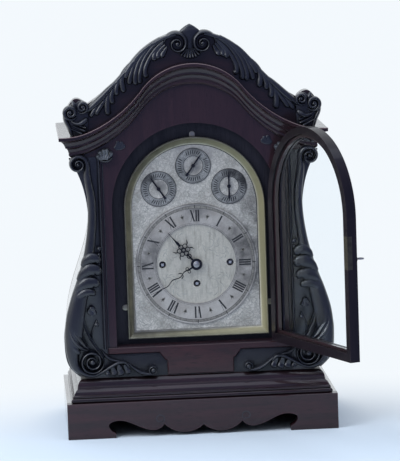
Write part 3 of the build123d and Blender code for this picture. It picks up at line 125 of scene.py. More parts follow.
def noise(tree, vector, scale, detail=2.0, rough=0.5, bend=0.0):
    """Cloudy values about 0.5, finer as detail grows and drawn out as bend grows."""
    values = {"Vector": vector, "Scale": scale, "Detail": detail, "Roughness": rough, "Distortion": bend}
    return add_node(tree, "ShaderNodeTexNoise", values).outputs["Fac"]


def ramp(tree, value, low, high, to_low=0.0, to_high=1.0, ease="LINEAR"):
    """The value carried from the span low to high on to the span to_low to to_high, and held at its ends."""
    values = {"Value": value, "From Min": low, "From Max": high, "To Min": to_low, "To Max": to_high}
    return add_node(tree, "ShaderNodeMapRange", values, interpolation_type=ease).outputs["Result"]


def calc(tree, operation, first, second):
    """Arithmetic on two values."""
    return add_node(tree, "ShaderNodeMath", {0: first, 1: second}, operation=operation).outputs["Value"]


def vector_calc(tree, operation, first, second=(0, 0, 0)):
    """Arithmetic on two vectors: a vector, or a value where a distance or a product is asked for."""
    out = "Value" if operation in ("LENGTH", "DISTANCE", "DOT_PRODUCT") else "Vector"
    return add_node(tree, "ShaderNodeVectorMath", {0: first, 1: second}, operation=operation).outputs[out]


# %% Wood figure, and wear and painted shade groups
def new_group(name, outputs):
    """An empty shader group: itself, its vector input and its end node with the named outputs."""
    group = bpy.data.node_groups.new(name, "ShaderNodeTree")
    group.interface.new_socket("Vector", in_out="INPUT", socket_type="NodeSocketVector")
    for socket in outputs:
        group.interface.new_socket(socket, in_out="OUTPUT", socket_type="NodeSocketFloat")
    return group, group.nodes.new("NodeGroupInput").outputs["Vector"], group.nodes.new("NodeGroupOutput")


def figure_group():
    """Figure is broad noise along the grain, and pores are the dark ends of a much finer noise."""
    group, vector, end = new_group("wood_figure", ("Figure", "Pores"))
    broad = noise(group, vector, 1.0, 6.0, 0.6, 0.7)
    streak = noise(group, vector_calc(group, "MULTIPLY", vector, (9.0, 9.0, 9.0)), 1.0)
    feed(group, end, {"Figure": ramp(group, broad, 0.32, 0.68), "Pores": ramp(group, streak, 0.56, 0.7)})
    return group


def wear_and_shade_group():
    """Edges is where rays inside soon meet another face; hollows, where rays outside do, get painted shade
    and old polish.
    """
    group, vector, end = new_group("wear_and_shade", ("Edges", "ShadeAndPolish"))
    inside = add_node(group, "ShaderNodeAmbientOcclusion", {"Distance": 0.003}, inside=True, samples=6)
    outside = add_node(group, "ShaderNodeAmbientOcclusion", {"Distance": 0.012}, samples=6)
    near_edge = ramp(group, inside.outputs["AO"], 0.75, 0.3)
    edges = calc(group, "MULTIPLY", near_edge, noise(group, vector, 70.0, 3.0))
    feed(group, end, {"Edges": edges, "ShadeAndPolish": ramp(group, outside.outputs["AO"], 0.9, 0.35)})
    return group


wood_figure = figure_group()
wear_and_shade = wear_and_shade_group()
print("groups:", [g.name for g in bpy.data.node_groups])

# %% [markdown]
# The case is French-polished mahogany, darkened by age to a purple brown. The polish is a clear coat over a
# grain that runs up the uprights and along the rails, so the same recipe is used with several grains.

# %% Finish helpers
def blend(tree, fac, first, second):
    """A colour that goes from first to second as fac goes from 0 to 1; either may be a socket or a colour."""
    ends = {6: first, 7: second}
    for key, end in ends.items():
        ends[key] = end if isinstance(end, bpy.types.NodeSocket) else (*end, 1)
    return add_node(tree, "ShaderNodeMix", {"Factor": fac, **ends}, data_type="RGBA").outputs[2]


def shade(colour, share):
    """The colour made darker, to a share of itself."""
    return tuple(share * c for c in colour)


def bumped(tree, height, strength, distance, invert=False):
    """The normal of a surface that rises with the height."""
    values = {"Height": height, "Strength": strength, "Distance": distance}
    return add_node(tree, "ShaderNodeBump", values, invert=invert).outputs["Normal"]


def new_finish(name):
    """A new material, its node tree and its place in object coordinates."""
    finish = bpy.data.materials.new(name)
    finish.use_nodes = True
    return finish, finish.node_tree, add_node(finish.node_tree, "ShaderNodeTexCoord").outputs["Object"]


def finished(finish, values):
    """The material, once its main shader is fed from values."""
    feed(finish.node_tree, finish.node_tree.nodes["Principled BSDF"], values)
    return finish


# %% Wood recipe
# Colour of the painted highlight on arrises that carry the attribute: the cornice's top front edge.
ARRIS_HIGHLIGHT = (0.17, 0.115, 0.12)


def wood(name, grain, dark, light, worn, rough, coat, bump, wear=0.5, sheen=0.2, soft=0.1):
    """Figure mixes two browns, pores darken them and edges are rubbed paler.

    Arrises that carry the attribute get a painted highlight; hollows get painted shade and old polish.
    """
    finish, tree, place = new_finish(name)
    along = add_node(tree, "ShaderNodeMapping", {"Vector": place, "Scale": grain}).outputs["Vector"]
    figure = add_node(tree, "ShaderNodeGroup", {"Vector": along}, node_tree=wood_figure).outputs
    edges = add_node(tree, "ShaderNodeGroup", {"Vector": place}, node_tree=wear_and_shade).outputs
    arris_highlight_mask = add_node(tree, "ShaderNodeAttribute", attribute_name="painted_arris_highlight").outputs["Fac"]
    colour = blend(tree, figure["Figure"], dark, light)
    colour = blend(tree, calc(tree, "MULTIPLY", figure["Pores"], 0.6), colour, shade(dark, 0.4))
    colour = blend(tree, calc(tree, "MULTIPLY", edges["Edges"], wear), colour, worn)
    # Painted highlight where the attribute marks an arris.
    colour = blend(tree, arris_highlight_mask, colour, ARRIS_HIGHLIGHT)
    # Hollows are darkened towards a deeper brown: old polish, and painted shade where other faces lie close.
    colour = blend(tree, calc(tree, "MULTIPLY", edges["ShadeAndPolish"], 0.7), colour, shade(dark, 0.3))
    gloss = ramp(tree, figure["Figure"], 0, 1, rough - 0.06, rough + 0.1)
    return finished(finish, {
        "Base Color": colour, "Roughness": gloss, "Normal": bumped(tree, figure["Pores"], bump, 0.0003),
        "Coat Weight": coat, "Coat Roughness": soft, "Specular IOR Level": sheen})


# %% Wood finishes
UPRIGHT, LEVEL = (85, 85, 7), (7, 85, 85)
RUBBED = (0.16, 0.085, 0.085)
mahogany_upright = wood("mahogany_upright", UPRIGHT, (0.0185, 0.0079, 0.0114), (0.028, 0.0103, 0.0146),
                        RUBBED, 0.34, 0.7, 0.25, wear=0.15)
mahogany_level = wood("mahogany_level", LEVEL, (0.009, 0.0044, 0.0062), (0.026, 0.0088, 0.0120), RUBBED,
                      0.34, 0.7, 0.25, wear=0.3)
mahogany_plinth = wood("mahogany_plinth", LEVEL, (0.017, 0.0066, 0.0098), (0.034, 0.0102, 0.0147), RUBBED,
                       0.34, 0.6, 0.25, wear=0.3)
mahogany_deep = wood("mahogany_deep", (85, 7, 85), (0.013, 0.0046, 0.0048), (0.055, 0.0170, 0.0140), RUBBED,
                     0.2, 1.0, 0.04, wear=0.1, sheen=0.6)
mahogany_rail = wood("mahogany_rail", (9, 60, 60), (0.017, 0.0052, 0.0075), (0.040, 0.0098, 0.0130), RUBBED,
                     0.36, 0.5, 0.25, wear=0.1)
# The door's mahogany is a darker, bluer copy of the case's, as painted shade.
shaded_mahogany_door = wood("shaded_mahogany_door", UPRIGHT, (0.0042, 0.0028, 0.0056), (0.0095, 0.0045, 0.0090),
                     (0.09, 0.06, 0.065), 0.38, 0.35, 0.2, wear=0.3)
# Carved mahogany's colours: a very dark brown whose blue tint, like that of the rubbed edges, is painted
# sheen.
carved_tone_and_sheen = dict(dark=(0.0026, 0.0035, 0.0078), light=(0.0052, 0.0061, 0.0130), worn=(0.034, 0.041, 0.062),
              sheen=0.4)
carved_mahogany = wood("carved_mahogany", (60, 60, 60), rough=0.4, coat=0.6, bump=0.2, wear=0.3, soft=0.22,
                       **carved_tone_and_sheen)
punched_ground = wood("punched_ground", (430, 430, 430), rough=0.5, coat=0.3, bump=1.0, wear=0.1, soft=0.3,
                      **carved_tone_and_sheen)
# A pale copy of the carved mahogany: the leaf capitals' pallor is a painted highlight.
carved_painted_highlight = wood("carved_painted_highlight", (190, 60, 25), (0.006, 0.006, 0.009), (0.09, 0.10, 0.12),
                     (0.17, 0.18, 0.20), 0.4, 0.5, 0.2, sheen=0.3, soft=0.2)
ebonised_wood = wood("ebonised_wood", (90, 90, 8), (0.0140, 0.0135, 0.0205), (0.027, 0.0245, 0.035),
                     (0.05, 0.045, 0.05), 0.45, 0.1, 0.2)
pine = wood("stained_pine", (70, 70, 6), (0.035, 0.017, 0.010), (0.085, 0.043, 0.022), (0.20, 0.12, 0.07),
            0.45, 0.7, 0.3)
print("finishes so far:", len(bpy.data.materials))

# %% [markdown]
# The brass has gone dull and olive, with darker blotches of tarnish and a brighter rubbed edge; the bezel's
# right side is painted brighter, a painted reflection. The dial is silvered brass, matt and cool. Steel is
# blued on the hands and left bright on the arbors, whose paler steel is also a painted highlight in the shade
# of the winding holes, and wax fills the engraving. One recipe serves them all, because they differ only in
# colour, gloss and the size of blotches.

# %% Metal and glass finishes
def metal(name, base, tarnish, blotch, rough, metallic=1.0, rubbed=None, polished=None):
    """Noise mixes bare metal with its rougher tarnish; edges may be rubbed bright and the right side get a
    painted reflection.
    """
    finish, tree, place = new_finish(name)
    mask = ramp(tree, noise(tree, place, blotch, 7.0, 0.65), 0.38, 0.68)
    colour = blend(tree, mask, base, tarnish)
    # Painted reflection: the right side of the piece is blended towards a brighter, yellower brass.
    if polished:
        across = add_node(tree, "ShaderNodeSeparateXYZ", {0: place}).outputs["X"]
        colour = blend(tree, ramp(tree, across, -0.08, 0.09, 0, 0.8), colour, polished)
    if rubbed:
        edges = add_node(tree, "ShaderNodeGroup", {"Vector": place}, node_tree=wear_and_shade).outputs["Edges"]
        colour = blend(tree, edges, colour, rubbed)
    gloss = ramp(tree, mask, 0, 1, rough, rough + 0.15)
    return finished(finish, {"Base Color": colour, "Roughness": gloss, "Metallic": metallic})


olive = dict(base=(0.165, 0.153, 0.106), tarnish=(0.105, 0.098, 0.072), blotch=40.0, rough=0.38,
             rubbed=(0.55, 0.52, 0.42))
brass = metal("brass", **olive)
# The bezel's brass, with a painted reflection brightening its right side.
bezel_brass = metal("bezel_brass", polished=(0.30, 0.275, 0.165), **olive)
dull_brass = metal("dull_brass", (0.12, 0.108, 0.08), (0.06, 0.055, 0.046), 90.0, 0.45)
bell_metal = metal("bell_metal", (0.45, 0.38, 0.24), (0.28, 0.22, 0.13), 30.0, 0.25)
blued_steel = metal("blued_steel", (0.012, 0.014, 0.024), (0.02, 0.018, 0.022), 120.0, 0.3, metallic=0.6)
steel = metal("steel", (0.45, 0.45, 0.46), (0.25, 0.24, 0.24), 90.0, 0.3)
# Paler steel for the arbors: bright steel, and a painted highlight that shows their ends in the shade of the
# winding holes.
lit_arbor_steel = metal("lit_arbor_steel", (0.62, 0.62, 0.61), (0.36, 0.36, 0.36), 200.0, 0.4)
wax = metal("black_wax", (0.012, 0.012, 0.014), (0.03, 0.03, 0.034), 400.0, 0.5, metallic=0.0)
worn_wax = metal("worn_wax", (0.14, 0.13, 0.12), (0.26, 0.245, 0.23), 200.0, 0.5, metallic=0.0)
faint_wax = metal("faint_wax", (0.27, 0.265, 0.25), (0.41, 0.40, 0.37), 120.0, 0.5, metallic=0.0)


def clear_glass(name):
    """Old window glass: clear, faintly blue, with slow waves in its surface."""
    finish, tree, place = new_finish(name)
    return finished(finish, {
        "Base Color": (0.94, 0.975, 1.0, 1), "Roughness": 0.01, "IOR": 1.06, "Transmission Weight": 1.0,
        "Normal": bumped(tree, noise(tree, place, 14.0, 1.0), 0.03, 0.002)})


glass = clear_glass("door_glass")
print("finishes so far:", len(bpy.data.materials))

# %% [markdown]
# The silvering lies over an engraved plate. Fine engraving covers all of it, so the dial looks mottled from
# afar: lines of a distorted cell pattern are darkened, and a slow noise dulls the silver in patches. Towards
# the top it is dulled further, as painted shade.

# %% Silvered finish
DIAL = np.array((0.0, 262.3))


def near_axis(tree, place, x, z, inner, outer):
    """1 within the inner radius about the axis through (x, z), falling to 0 at the outer radius."""
    shift = vector_calc(tree, "SUBTRACT", place, (x * MM, 0, z * MM))
    reach = vector_calc(tree, "LENGTH", vector_calc(tree, "MULTIPLY", shift, (1, 0, 1)))
    return ramp(tree, reach, outer * MM, inner * MM, ease="SMOOTHSTEP")


def silvered(name, base, dull, engraved, centre, spots):
    """Distorted cell borders are the engraved lines, noise and painted shade at the top dull the silver, the
    centre is brushed.

    Spots (x, z, radius, tone) are darkened towards the tone where the noise patches fall.
    """
    finish, tree, place = new_finish(name)
    bend = add_node(tree, "ShaderNodeTexNoise", {"Vector": place, "Scale": 75.0, "Detail": 3.0})
    pull = add_node(tree, "ShaderNodeVectorMath", {0: bend.outputs["Color"], "Scale": 0.035},
                    operation="SCALE")
    moved = vector_calc(tree, "ADD", pull.outputs["Vector"], place)
    cells = add_node(tree, "ShaderNodeTexVoronoi", {"Vector": moved, "Scale": 150.0},
                     feature="DISTANCE_TO_EDGE")
    patch = ramp(tree, noise(tree, place, 38.0, 6.0, 0.65), 0.3, 0.66)
    # The silver dulls towards the top of the dial as painted shade, and in noise patches as tarnish.
    height = add_node(tree, "ShaderNodeSeparateXYZ", {0: place}).outputs["Z"]
    tarnish_and_top_shade = calc(tree, "MAXIMUM", patch, ramp(tree, height, 0.20, 0.46, 0, 0.55))
    middle = near_axis(tree, place, *DIAL, 61.5, 63.0)
    line = ramp(tree, cells.outputs["Distance"], 0.2, 0.03)
    cut = calc(tree, "MULTIPLY", line, ramp(tree, middle, 0, 1, engraved, 0.35 * engraved))
    upright = add_node(tree, "ShaderNodeMapping", {"Vector": place, "Scale": (260, 260, 50)})
    brushed = ramp(tree, noise(tree, upright.outputs["Vector"], 1.0, 4.0), 0.45, 0.75, 0, 0.8)
    colour = blend(tree, tarnish_and_top_shade, base, dull)
    colour = blend(tree, middle, colour, blend(tree, brushed, centre, shade(centre, 0.6)))
    colour = blend(tree, cut, colour, shade(dull, 0.3))
    for x, z, radius, tone in spots:
        darkened_spot = calc(tree, "MULTIPLY", near_axis(tree, place, x, z, 0.3 * radius, radius), patch)
        colour = blend(tree, darkened_spot, colour, (tone, 0.95 * tone, 0.93 * tone))
    return finished(finish, {
        "Base Color": colour, "Roughness": ramp(tree, patch, 0, 1, 0.42, 0.55), "Metallic": 0.35,
        "Normal": bumped(tree, cut, 0.3, 0.0002, invert=True)})


# %% Silvered plate and rings
# Spots darken the plate on its right side, at the top of its arch and about the small dials.
silver_plate = silvered(
    "silvered_plate", (0.70, 0.665, 0.61), (0.42, 0.395, 0.36), 0.4, (0.525, 0.495, 0.435),
    ((100, 330, 70, 0.12), (105, 255, 55, 0.14), (0, 450, 60, 0.3),
     (-52, 386, 14, 0.2), (3, 415, 14, 0.18), (55, 383, 12, 0.3)))
silver_ring = silvered(
    "silvered_ring", (0.525, 0.495, 0.465), (0.365, 0.335, 0.31), 0.1, (0.525, 0.495, 0.465),
    ((82, 280, 85, 0.11), (-85, 278, 60, 0.15), (0, 355, 40, 0.2)))
small_ring = silvered(
    "silvered_small_ring", (0.46, 0.455, 0.44), (0.20, 0.20, 0.20), 0.4, (0.46, 0.455, 0.44),
    ((72, 398, 34, 0.02), (72, 398, 34, 0.02), (56, 356, 24, 0.03), (-72, 400, 16, 0.05), (4, 443, 15, 0.05)))

# %% [markdown]
# The CAD nodes come with plain slots, one for each substance. Every node takes its slot's finish. Then the
# boards, the arbors, the lock and the dial's rings take finishes of their own.

# %% Finishes on the CAD nodes
slot_finish = {"mahogany": mahogany_upright, "carved_mahogany": carved_mahogany, "pine": pine, "brass": brass,
               "ebonised_wood": ebonised_wood, "silvered_brass": silver_plate, "bell_metal": bell_metal,
               "blued_steel": blued_steel, "steel": steel, "glass": glass}
finish_of = {name: slot_finish[slot] for name, slot in slot_of.items()}
for finish, names in (
        (mahogany_level, ("pediment_board",)), (mahogany_rail, ("rail_panel",)),
        (mahogany_plinth, ("plinth_front",)),
        (mahogany_deep, ("plinth_returns", "roof", "case_sides")),
        # The door takes the darker copy of the mahogany: painted shade.
        (shaded_mahogany_door, ("door_stiles", "door_head", "door_rail")), (dull_brass, ("lock_case", "lock_bolt")),
        # The arbors take the paler steel, partly a painted highlight.
        (lit_arbor_steel, ("going_arbor", "strike_arbor", "chime_arbor")),
        (silver_ring, ("chapter_ring",)), (small_ring, ("subdial_rings",))):
    finish_of.update(dict.fromkeys(names, finish))
for name, finish in finish_of.items():
    nodes[name].data.materials[0] = finish
print("dressed", len(finish_of), "nodes in", len(set(finish_of.values())), "finishes")

# %% [markdown]
# The cornice is one moulding bent to a bell line: a crown arc, a concave sweep down each side, a level end.
# It was planed straight up and down, so every member keeps its drop below the line, and it is mitred to the
# two side returns. A Bevel on a curve would thin it on the slopes, so the profile is carried point by point.

# %% Line of the top
CROWN, CROWN_Z, TURN = 99, 482.2, math.radians(52)
SWEEP, SWEEP_X, SWEEP_Z = 200, 235.6, 666.3
EASE_FROM, EASE_LENGTH, EASE_DROP, LEVEL_END = 160, 40, 16.3, 473.3


def bell_line(x):
    """Height over x: a circle about (0, CROWN_Z) out to the turn, then one hung from (SWEEP_X, SWEEP_Z)."""
    convex = CROWN_Z + np.sqrt(np.clip(CROWN**2 - x**2, 0, None))
    concave = SWEEP_Z - np.sqrt(np.clip(SWEEP**2 - (x - SWEEP_X) ** 2, 0, None))
    return np.where(x < CROWN * math.sin(TURN), convex, concave)


def cornice_line(x):
    """The bell line, eased to level at its ends by a cubic that keeps its slope."""
    x = np.abs(x)
    share = np.clip((x - EASE_FROM) / EASE_LENGTH, 0, 1)
    fall = (bell_line(EASE_FROM) - LEVEL_END) * (1 - share) ** 2 * (1 + 2 * share)
    eased = LEVEL_END + fall - EASE_DROP * share * (1 - share) ** 2
    return np.where(x > EASE_FROM, eased, bell_line(x))


print("cornice line from", float(cornice_line(0)), "down to", LEVEL_END)

# %% Cornice
CORNICE_PROFILE = np.array([
    (0, 0), (0, 21.8), (0, 22.5), (0.5, 23), (1.3, 23), (5.2, 23), (5.8, 22.4), (6.1, 20.6), (7, 18.8),
    (9, 16.6), (11.6, 14.8), (14.4, 13.9), (14.6, 13.1), (17.2, 13), (17.6, 11.9), (19.4, 9.9), (22, 8.6),
    (24.8, 8), (25.1, 7.2), (26.2, 7.7), (28, 8), (30, 7.5), (31.8, 6), (33, 4), (33, 0)])
CORNICE_HALF, TOP_ARRIS = 186, slice(2, 4)


def moulding(profile, half, stations=181, back_y=-2):
    """Each profile point (drop, reach) runs along the left return, the bell line and the right return."""
    drop, reach = profile.T
    x = np.linspace(-1, 1, stations)[:, None] * (half + reach)
    front = np.stack([x, np.broadcast_to(CASE_FACE - reach, x.shape), cornice_line(x) - drop], -1)
    back = front[[0, -1]].copy()
    back[..., 1] = back_y
    return loft(np.concatenate([back[:1], front, back[1:]]))


cornice = piece("cornice_moulding", [moulding(CORNICE_PROFILE, CORNICE_HALF)], "case", mahogany_level,
                ["cornice"], 25)
# Painted highlight along the cornice's top front arris: its profile points there carry the attribute.
highlight_columns = np.zeros(len(CORNICE_PROFILE))
highlight_columns[TOP_ARRIS] = 1
painted_arris_highlight = cornice.data.attributes.new("painted_arris_highlight", "FLOAT", "POINT")
painted_arris_highlight.data.foreach_set("value", np.tile(highlight_columns, len(cornice.data.vertices) // len(CORNICE_PROFILE)))

# %% [markdown]
# Carving is built from strokes, as the carver cuts it: a gouge line with a width and a height that change
# along it, rounded, veined or reeded across. Volutes are strokes that wind in on themselves, ended by a bead.

# %% Strokes
def through(rows, count, ease=0.0):
    """A smooth line through the rows: cubic spans over chord length; ease draws stations to both ends."""
    p = np.asarray(rows, float)
    chord = np.r_[0, np.cumsum(np.linalg.norm(np.diff(p[:, :2], axis=0), axis=1))]
    slope = np.gradient(p, chord, axis=0)
    share = np.linspace(0, 1, count)
    t = chord[-1] * ((1 - ease) * share + ease * (1 - np.cos(math.pi * share)) / 2)
    k = np.clip(np.searchsorted(chord, t, side="right") - 1, 0, len(p) - 2)
    h = (chord[k + 1] - chord[k])[:, None]
    u = (t - chord[k])[:, None] / h
    start = (1 + 2 * u) * (1 - u) ** 2 * p[k] + u * (1 - u) ** 2 * h * slope[k]
    return start + u * u * (3 - 2 * u) * p[k + 1] - u * u * (1 - u) * h * slope[k + 1]


def ribbon(line, u, least):
    """The x and z of places across a line of (x, z, width), square to its run: u is -1 and 1 at its edges."""
    run = np.gradient(line[:, :2], axis=0)
    run /= np.linalg.norm(run, axis=1, keepdims=True)
    across = np.clip(line[:, 2:3], least, None) / 2 * u
    return line[:, :1] - run[:, 1:] * across, line[:, 1:2] + run[:, :1] * across


def section(kind):
    """Across a stroke, from -1 to 1, the share of its height: edge walls, then a dome, grooved or dished."""
    u = np.sin(np.linspace(-0.5, 0.5, 15) * math.pi)
    dome = np.sqrt(np.clip(1 - u * u, 0, 1))
    wall, top = {
        "round": (0.1, dome**0.9), "rib": (0.4, dome**0.8), "reed": (0.55, dome), "pillow": (0.72, dome),
        "vein": (0.5, dome * (1 - 0.5 * np.exp(-((u / 0.22) ** 2)))),
        "dish": (0.6, dome**0.4 * (0.35 + 0.65 * np.abs(u) ** 1.5))}[kind]
    return np.r_[-1, u, 1], np.r_[0, wall + (1 - wall) * top, 0]


def stroke(rows, kind="round", count=32, face=CASE_FACE, tip=False):
    """Rows are (x, z, width, height): at each station the section stands across the line, closed behind.

    With tip set, the width shrinks over its own last half as a circle does, so the stroke ends round.
    """
    line = through(rows, count, 0.9 if tip else 0.0)
    if tip:
        left = np.r_[np.cumsum(np.linalg.norm(np.diff(line[::-1, :2], axis=0), axis=1))[::-1], 0]
        ending = np.sqrt(1 - (1 - np.clip(2 * left / line[:, 2], 0, 1)) ** 2)
        line[:, 2] *= ending
        line[:, 3] *= 0.6 + 0.4 * ending
    u, lift = section(kind)
    x, z = ribbon(line, np.r_[u, 1, -1], 0.3)
    behind = np.r_[np.zeros(len(u)), 1, 1]
    y = face - np.clip(line[:, 3:4], 0.2, None) * np.r_[lift, 0, 0] + behind
    return loft(np.stack([x, y, z], -1))


# %% Leaves, volutes and beads
def finger(points, width, height=11.0, kind="reed"):
    """A leaf of one reed: narrow at its root, widest near its round tip, which stands out from the ground."""
    s = np.linspace(0, 1, 12)
    wide = width * np.interp(s, (0, 0.3, 0.75, 1), (0.5, 0.8, 1, 1))
    high = height * np.interp(s, (0, 0.5, 0.85, 1), (1, 0.9, 1.1, 1))
    return stroke(np.column_stack([through(points, 12), wide, high]), kind, 36, tip=True)


def spiral(x, z, start, turns, radii, widths, heights, count=26):
    """Rows of a volute: the angle goes evenly through the turns, and the rest follows the lists."""
    t = np.linspace(0, 1, count)
    angle = math.radians(start) + 2 * math.pi * turns * t
    radius, width, height = (np.interp(t, np.linspace(0, 1, len(v)), v) for v in (radii, widths, heights))
    return np.stack([x + radius * np.cos(angle), z + radius * np.sin(angle), width, height], 1)


def bead(x, z, radius, height, face=CASE_FACE):
    """A boss turned about the face's normal: a quarter ellipse from the rim to the middle, on a wall."""
    phi = np.linspace(0, 0.49 * math.pi, 7)
    wall = max(height - radius, 0)
    rim = np.r_[radius, radius * np.cos(phi)][:, None]
    out = np.r_[-1, wall + (height - wall) * np.sin(phi)][:, None]
    turn = np.linspace(0, 2 * math.pi, 20, endpoint=False)
    return loft(np.stack([x + rim * np.cos(turn), face - out + 0 * turn, z + rim * np.sin(turn)], -1))


# %% [markdown]
# Crest: a plain shield between two volutes that come over the top and curl in, with a fluted fan below. From
# the volutes two acanthus leaves sweep down each slope. Their reeds run along the edge at first, then turn
# down one by one and end in round tips, and a smooth strap leads on to the ear. Each reed is a stroke of its
# own, because shells that lap over each other look cut, while a displaced sheet would blur their tips.

# %% Crest centre
shield = stroke([
    (0, 592, 10, 6), (0, 602, 12, 7), (0, 612, 13, 8), (0, 620, 20, 9), (0, 627, 32, 9), (0, 631, 30, 9),
    (0, 635, 21, 8), (0, 638.5, 11, 7), (0, 641, 1.5, 5)], "reed", 48)
volute = [
    stroke(spiral(19.5, 610.5, -8, 1.8, (22, 17.5, 12.5, 11, 9.5, 7, 4.5, 3), (5, 7.5, 7, 5.5, 5, 4.5, 4, 3),
                  (9, 14, 15, 15, 15.5, 16, 16.5, 17), 34), "round", 110),
    bead(19.5, 610.5, 3.6, 16.5)]
fan = [finger(((0.35 * x, 603), (0.7 * x, 0.5 * (603 + z)), (x, z)), 5, 9)
       for x, z in ((0, 586.5), (5, 587), (10, 588.5), (15, 591.5), (19, 596))]
piece("crest_shield", [shield] + mirrored(volute) + mirrored(fan[1:]) + fan[:1], "case", carved_mahogany,
      ["crest_centre"])

# %% Crest leaves
CREST_REEDS = (
    (8, ((36, 607), (40, 600), (43, 594), (41, 590))),
    (8, ((39, 610), (46, 602), (50, 595), (49, 588))),
    (8, ((42, 613), (52, 602), (56, 593), (55, 585))),
    (7, ((41, 616), (49, 609), (59, 597), (67, 583), (71, 571), (69, 563), (65, 563))),
    (7, ((41, 619), (55, 610), (67, 596), (74, 583), (78, 571), (80, 559), (78, 551))),
    (7.5, ((42, 621), (60, 610), (73, 595), (81, 582), (85, 570), (87, 559), (85, 549))),
    (7, ((46, 620.5), (64, 608.5), (79, 593.5), (88, 580), (92, 569), (95, 559), (96, 550))),
    (6.5, ((52, 617.5), (70, 604), (85, 588.5), (94, 576.5), (100, 566), (102, 560))),
    (6, ((58, 613.5), (75, 600.5), (89, 585), (98, 573), (103, 565))),
    (8, ((86, 588), (95, 579.5), (103, 569.5), (107, 561), (107.5, 553), (106, 545), (105, 538))),
    (7, ((96, 577.5), (103, 569), (110, 560), (114.5, 552), (116.5, 543), (115.5, 534))),
    (7.5, ((101, 571.5), (109, 562.5), (117, 551.5), (122.5, 542), (124.5, 532), (122, 521))),
    (8.5, ((108, 564), (115, 556), (123, 545.5), (129.5, 533), (131.5, 518), (130, 504))),
    (6.5, ((115, 556), (123, 547), (132, 534), (139.5, 522), (145.5, 513), (150, 505))),
    (6, ((128, 541), (138, 529.5), (147, 519), (154, 510), (158, 502))))
REED_OVERLAP = 2.2
rim = stroke([
    (22, 625.5, 6, 12), (34, 622.5, 6, 12), (46, 618, 6, 12), (58, 611.5, 5.5, 11), (70, 602.5, 4, 10),
    (80, 593, 2.5, 9)], "pillow", 40)
strap = stroke([
    (116, 556, 4, 10), (124, 548, 8, 12), (133, 539, 10, 13), (142, 530, 11, 13), (151, 522, 11, 13),
    (158, 516.5, 10, 12), (165, 512, 8, 11)], "rib", 50)
reeds = [finger(points, width + REED_OVERLAP) for width, points in CREST_REEDS]
piece("crest_acanthus", mirrored([rim, strap] + reeds), "case", carved_mahogany,
      ["crest_leaves"])

# %% [markdown]
# Ears stand on the ends of the cornice: a large and a small scroll, a pointed knob between them, a leaf cup
# below and flutes down to the foot. The outer edge is one sweep from the large scroll to the cornice. The
# ground is a plate with an eased edge, and the scrolls are strokes on it, as a carver leaves them standing.

# %% Ears
def plate(outline, thickness, bevel=1.2, face=CASE_FACE):
    """A flat board of that outline in (x, z), its front edge eased: the outline, then it is drawn in."""
    outline = np.asarray(outline, float)
    run = np.roll(outline, -1, 0) - np.roll(outline, 1, 0)
    run /= np.linalg.norm(run, axis=1, keepdims=True)
    area = np.sum(outline[:, 0] * np.roll(outline[:, 1], -1) - np.roll(outline[:, 0], -1) * outline[:, 1])
    inward = np.stack([-run[:, 1], run[:, 0]], 1) * np.sign(area)
    rings = [(0, -0.5), (0, thickness - bevel), (0.3 * bevel, thickness - 0.3 * bevel), (bevel, thickness)]
    return loft(np.stack([np.insert(outline + inward * draw, 1, face - out, axis=1) for draw, out in rings]))


EAR_OUTLINE = (
    (163, 474), (187, 474), (190, 483), (195, 491), (199.5, 502), (200, 511), (195, 519), (188, 523),
    (185.5, 528.5), (180, 525.5), (175, 528.5), (168, 528.5), (163, 523), (161, 512), (161, 495))
SCROLL_HEIGHTS = (10, 14, 15, 15, 15, 14.5, 14)
ear = [
    plate(EAR_OUTLINE, 7, 2.5),
    stroke([(199, 512, 3, 9), (197, 500, 7, 12), (191.5, 488, 8, 12), (187.5, 475, 6, 10)], "round", 40),
    stroke(spiral(189, 510.5, 215, 1.7, (11.5, 9.5, 8.6, 7.5, 5.5, 3.4, 2), (4, 6, 6, 5.6, 5, 4.4, 4),
                  SCROLL_HEIGHTS), "pillow", 90),
    bead(189, 510.5, 2.6, 14.5),
    stroke(spiral(170, 518.5, -50, -1.7, (10, 7.8, 7, 6, 4.4, 2.8, 1.8), (3, 4.8, 5, 4.6, 4, 3.6, 3.2),
                  SCROLL_HEIGHTS), "pillow", 90),
    bead(170, 518.5, 2.2, 14.5),
    stroke([(181, 514, 6, 8), (183, 521, 8, 10), (185.5, 528.5, 4, 7)], "reed", tip=True),
    stroke([(190, 499, 2, 10), (184, 495, 4, 13), (176, 493, 6.5, 15), (168.5, 496, 8.5, 15),
            (162.5, 502, 6, 12)], "pillow", 40, tip=True)]
ear += [finger(points, 5.5, 11) for points in (
    ((187, 491), (177, 486), (165, 480)), ((189, 486), (180, 481), (170, 476.5)),
    ((178, 490.5), (170, 488), (164, 486)))]
piece("crest_ear_scrolls", mirrored(ear), "case", carved_mahogany, ["crest_ears"])

# %% [markdown]
# Consoles: tall S-scrolls that flank the door. The rib rolls out under the cornice, follows the waisted side,
# swells over the foot, turns under the large volute and runs on along the bottom rail. A husk of four plump
# leaves covers the waist, a hollow line leads down to the volute, and a leaf capital crowns the inner strip.
# One surface could be sculpted for all of it, but separate strokes can be moved one at a time.

